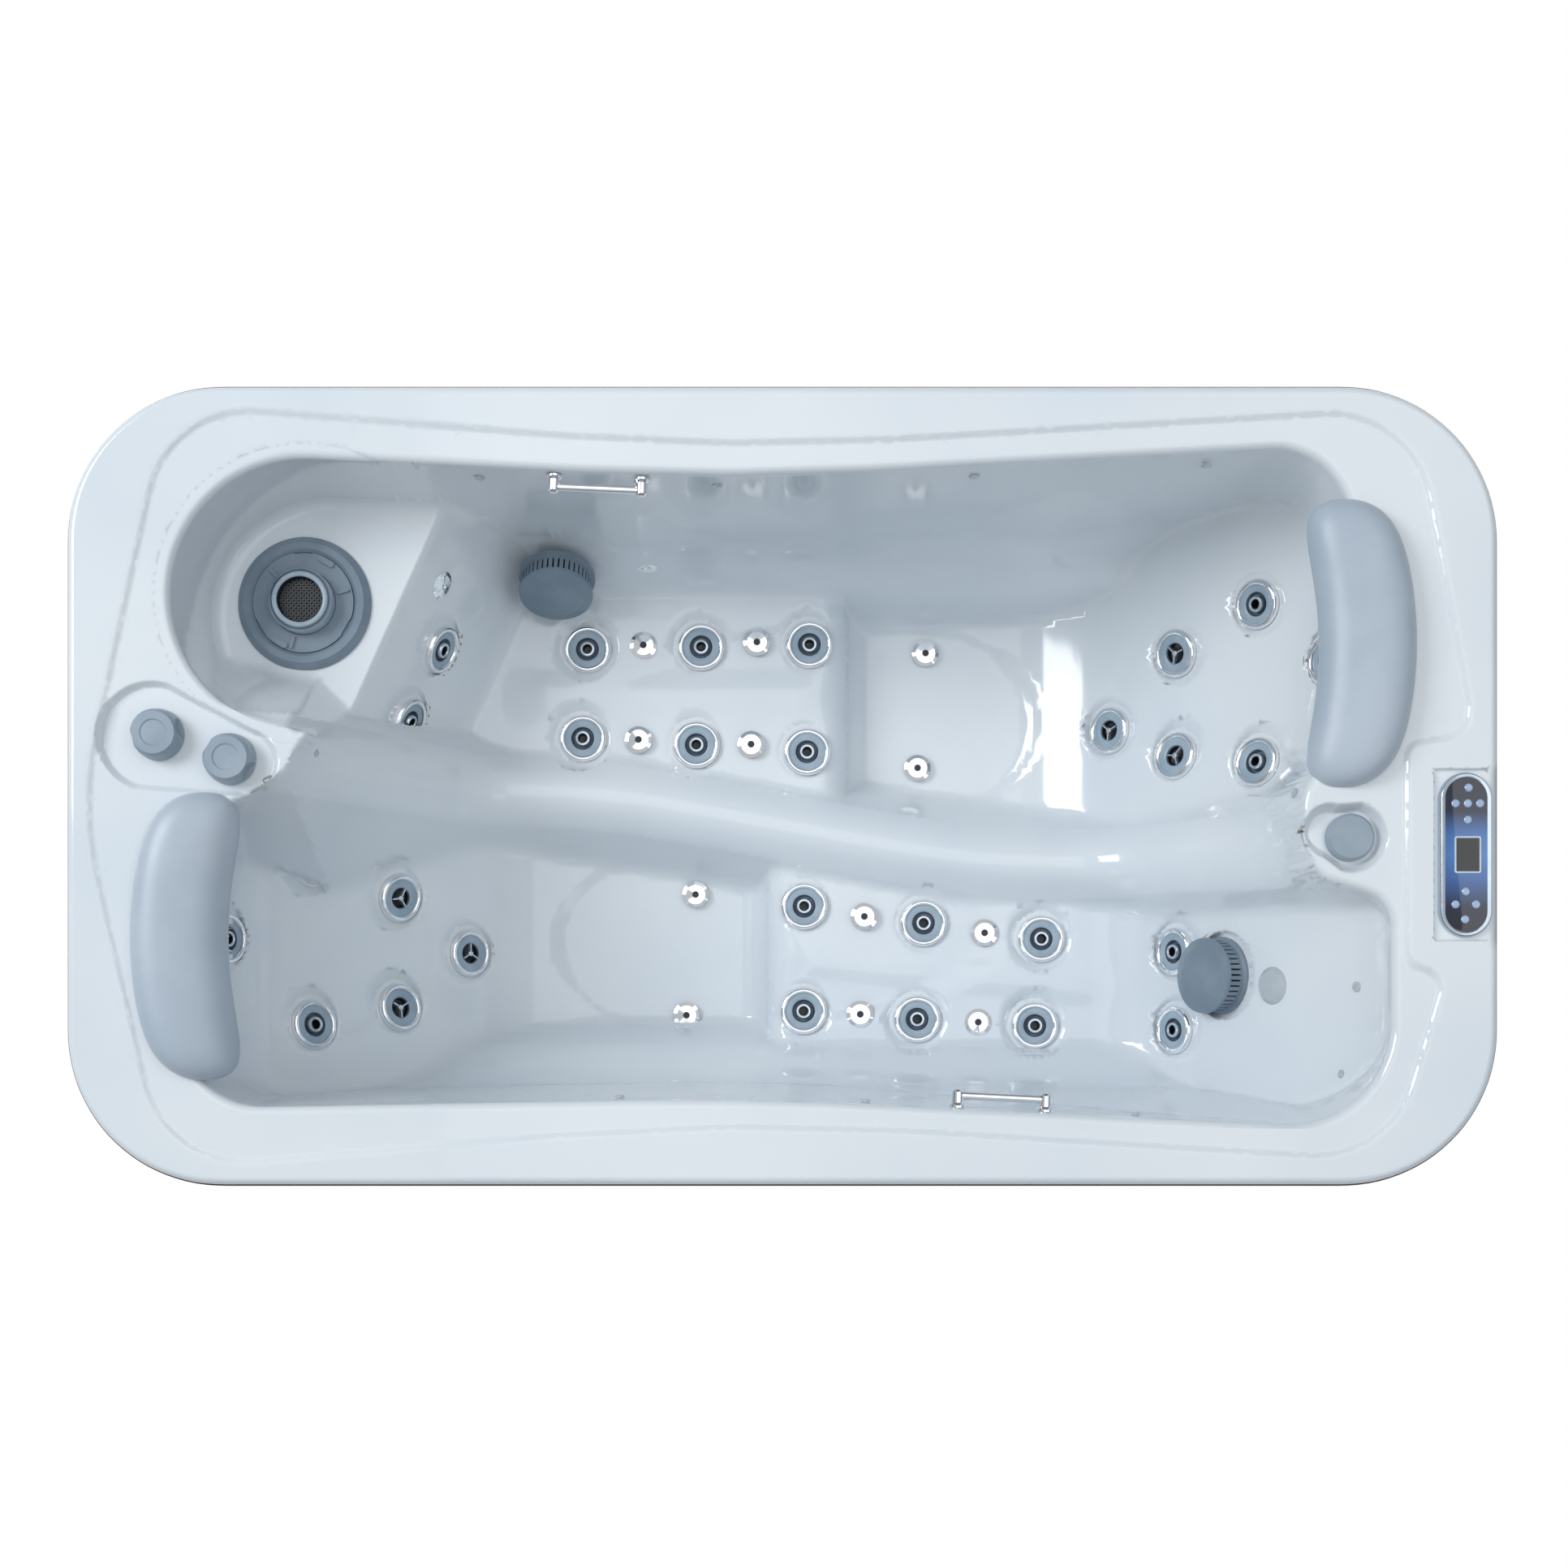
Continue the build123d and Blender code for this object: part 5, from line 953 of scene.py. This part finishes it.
for number, spot in enumerate(injectorSpots):
    bore = bpy.data.objects.new(f"injectorBore{number + 1}", boreMesh)
    bpy.context.scene.collection.objects.link(bore)
    bore.location = [v * mm for v in spot]
    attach(bore, "tub")


# dark band round the top of the lip's outer wall, painted in as the lip's shadow line
def buildLipShadowBand():
    line = resample(outerLine, 15.0)
    rows = [(0.5, 746.0), (-2.2, 745.4), (-2.8, 741.0), (0.5, 739.0)]
    verts, faces = [], []
    for outward, height in rows:
        verts += [(x * mm, y * mm, height * mm) for x, y in shifted(line, outward)]
    count = len(line)
    for i in range(len(rows)):
        for j in range(count):
            k, n = (j + 1) % count, (i + 1) % len(rows)
            faces.append((i * count + j, i * count + k, n * count + k, n * count + j))
    shadowBand = newObject("lipShadowBand", verts, faces, [cabinetMat], sharp=50.0)
    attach(shadowBand, "tub")


buildLipShadowBand()
print("weir, bores and seal done")


# CAD pieces that keep their own shape
cadLooks = {
    # the filter and suction covers take the slate made darker as painted shade
    "base_tray": trayMat, "frame_tubes": frameMat, "cabinet_panels": cabinetMat, "access_door": cabinetMat,
    "jet_bodies": fittingMat, "air_injectors": chromeMat, "suction_covers": basinShadeSlateMat, "light_lens": lensMat,
    "grab_handles": chromeMat, "filter_canister": basinShadeSlateMat, "filter_lock_ring": basinShadeSlateMat,
    "filter_cartridge": filterClothMat, "diverter_knob": knobMat, "air_control_knob": knobMat,
    "aroma_cap": knobMat, "pump_and_blower": pumpMat, "control_box": boxMat, "valves_and_pipes": pipeMat,
}
for number in range(1, 10):
    cadLooks[f"panel_button_{number}"] = buttonMat
for node, mat in cadLooks.items():
    obj = frame["nodes"][node]
    for holder in obj.material_slots:
        holder.material = mat
print("frame pieces dressed", len(cadLooks))


# studio
scene = bpy.context.scene
floorMat = bpy.data.materials.new("floorMat")
floorMat.use_nodes = True
nodes, links = floorMat.node_tree.nodes, floorMat.node_tree.links
paper = nodes["Principled BSDF"]
paper.inputs["Base Color"].default_value = (0.8, 0.8, 0.8, 1.0)
paper.inputs["Roughness"].default_value = 0.9
glow = nodes.new("ShaderNodeEmission")
path = nodes.new("ShaderNodeLightPath")
mix = nodes.new("ShaderNodeMixShader")
links.new(path.outputs["Is Camera Ray"], mix.inputs["Fac"])
links.new(paper.outputs["BSDF"], mix.inputs[1])
links.new(glow.outputs["Emission"], mix.inputs[2])
links.new(mix.outputs["Shader"], nodes["Material Output"].inputs["Surface"])
floorMesh = bpy.data.meshes.new("studioFloor")
floorHalf, floorDrop = 15.0, -0.001
floorCorners = [(x * floorHalf, y * floorHalf, floorDrop) for x, y in ((-1, -1), (1, -1), (1, 1), (-1, 1))]
floorMesh.from_pydata(floorCorners, [], [(0, 1, 2, 3)])
floorMesh.materials.append(floorMat)
studioFloor = bpy.data.objects.new("studioFloor", floorMesh)
scene.collection.objects.link(studioFloor)

world = bpy.data.worlds.new("studioWorld")
scene.world = world
world.use_nodes = True
nodes, links = world.node_tree.nodes, world.node_tree.links
sky = nodes["Background"]
white = nodes.new("ShaderNodeBackground")
white.inputs["Color"].default_value = (1.0, 1.0, 1.0, 1.0)
coords = nodes.new("ShaderNodeTexCoord")
split = nodes.new("ShaderNodeSeparateXYZ")
links.new(coords.outputs["Generated"], split.inputs["Vector"])
ramp = nodes.new("ShaderNodeValToRGB")
ramp.color_ramp.elements[0].position = 0.05
ramp.color_ramp.elements[0].color = (0.16, 0.18, 0.20, 1.0)
ramp.color_ramp.elements[1].position = 0.75
ramp.color_ramp.elements[1].color = (0.95, 0.98, 1.0, 1.0)
links.new(split.outputs["Z"], ramp.inputs["Fac"])
links.new(ramp.outputs["Color"], sky.inputs["Color"])
sky.inputs["Strength"].default_value = 0.56
path = nodes.new("ShaderNodeLightPath")
pick = nodes.new("ShaderNodeMixShader")
links.new(path.outputs["Is Camera Ray"], pick.inputs["Fac"])
links.new(sky.outputs["Background"], pick.inputs[1])
links.new(white.outputs["Background"], pick.inputs[2])
links.new(pick.outputs["Shader"], nodes["World Output"].inputs["Surface"])

lightTable = [
    ("keyLight", (-4.5, 1.8, 4.6), (-17.0, -48.0), 2.7, 205.0),
    ("topLight", (0.8, 0.5, 4.7), (-6.0, 3.0), 4.0, 48.0),
    ("fillLight", (2.7, -1.6, 3.0), (30.0, 42.0), 1.5, 6.0),
]
for name, place, tilt, size, energy in lightTable:
    data = bpy.data.lights.new(name, "AREA")
    data.size = size
    data.energy = energy
    light = bpy.data.objects.new(name, data)
    light.location = place
    light.rotation_euler = (math.radians(tilt[0]), math.radians(tilt[1]), 0.0)
    scene.collection.objects.link(light)

cameraData = bpy.data.cameras.new("photoCamera")
cameraData.lens = 47.0
cameraData.sensor_width = 36.0
cameraData.shift_y = 0.15
camera = bpy.data.objects.new("photoCamera", cameraData)
camera.location = (0.0024, -0.343, 3.76)
scene.collection.objects.link(camera)
scene.camera = camera
scene.view_settings.view_transform = "Standard"

print("studio ready")
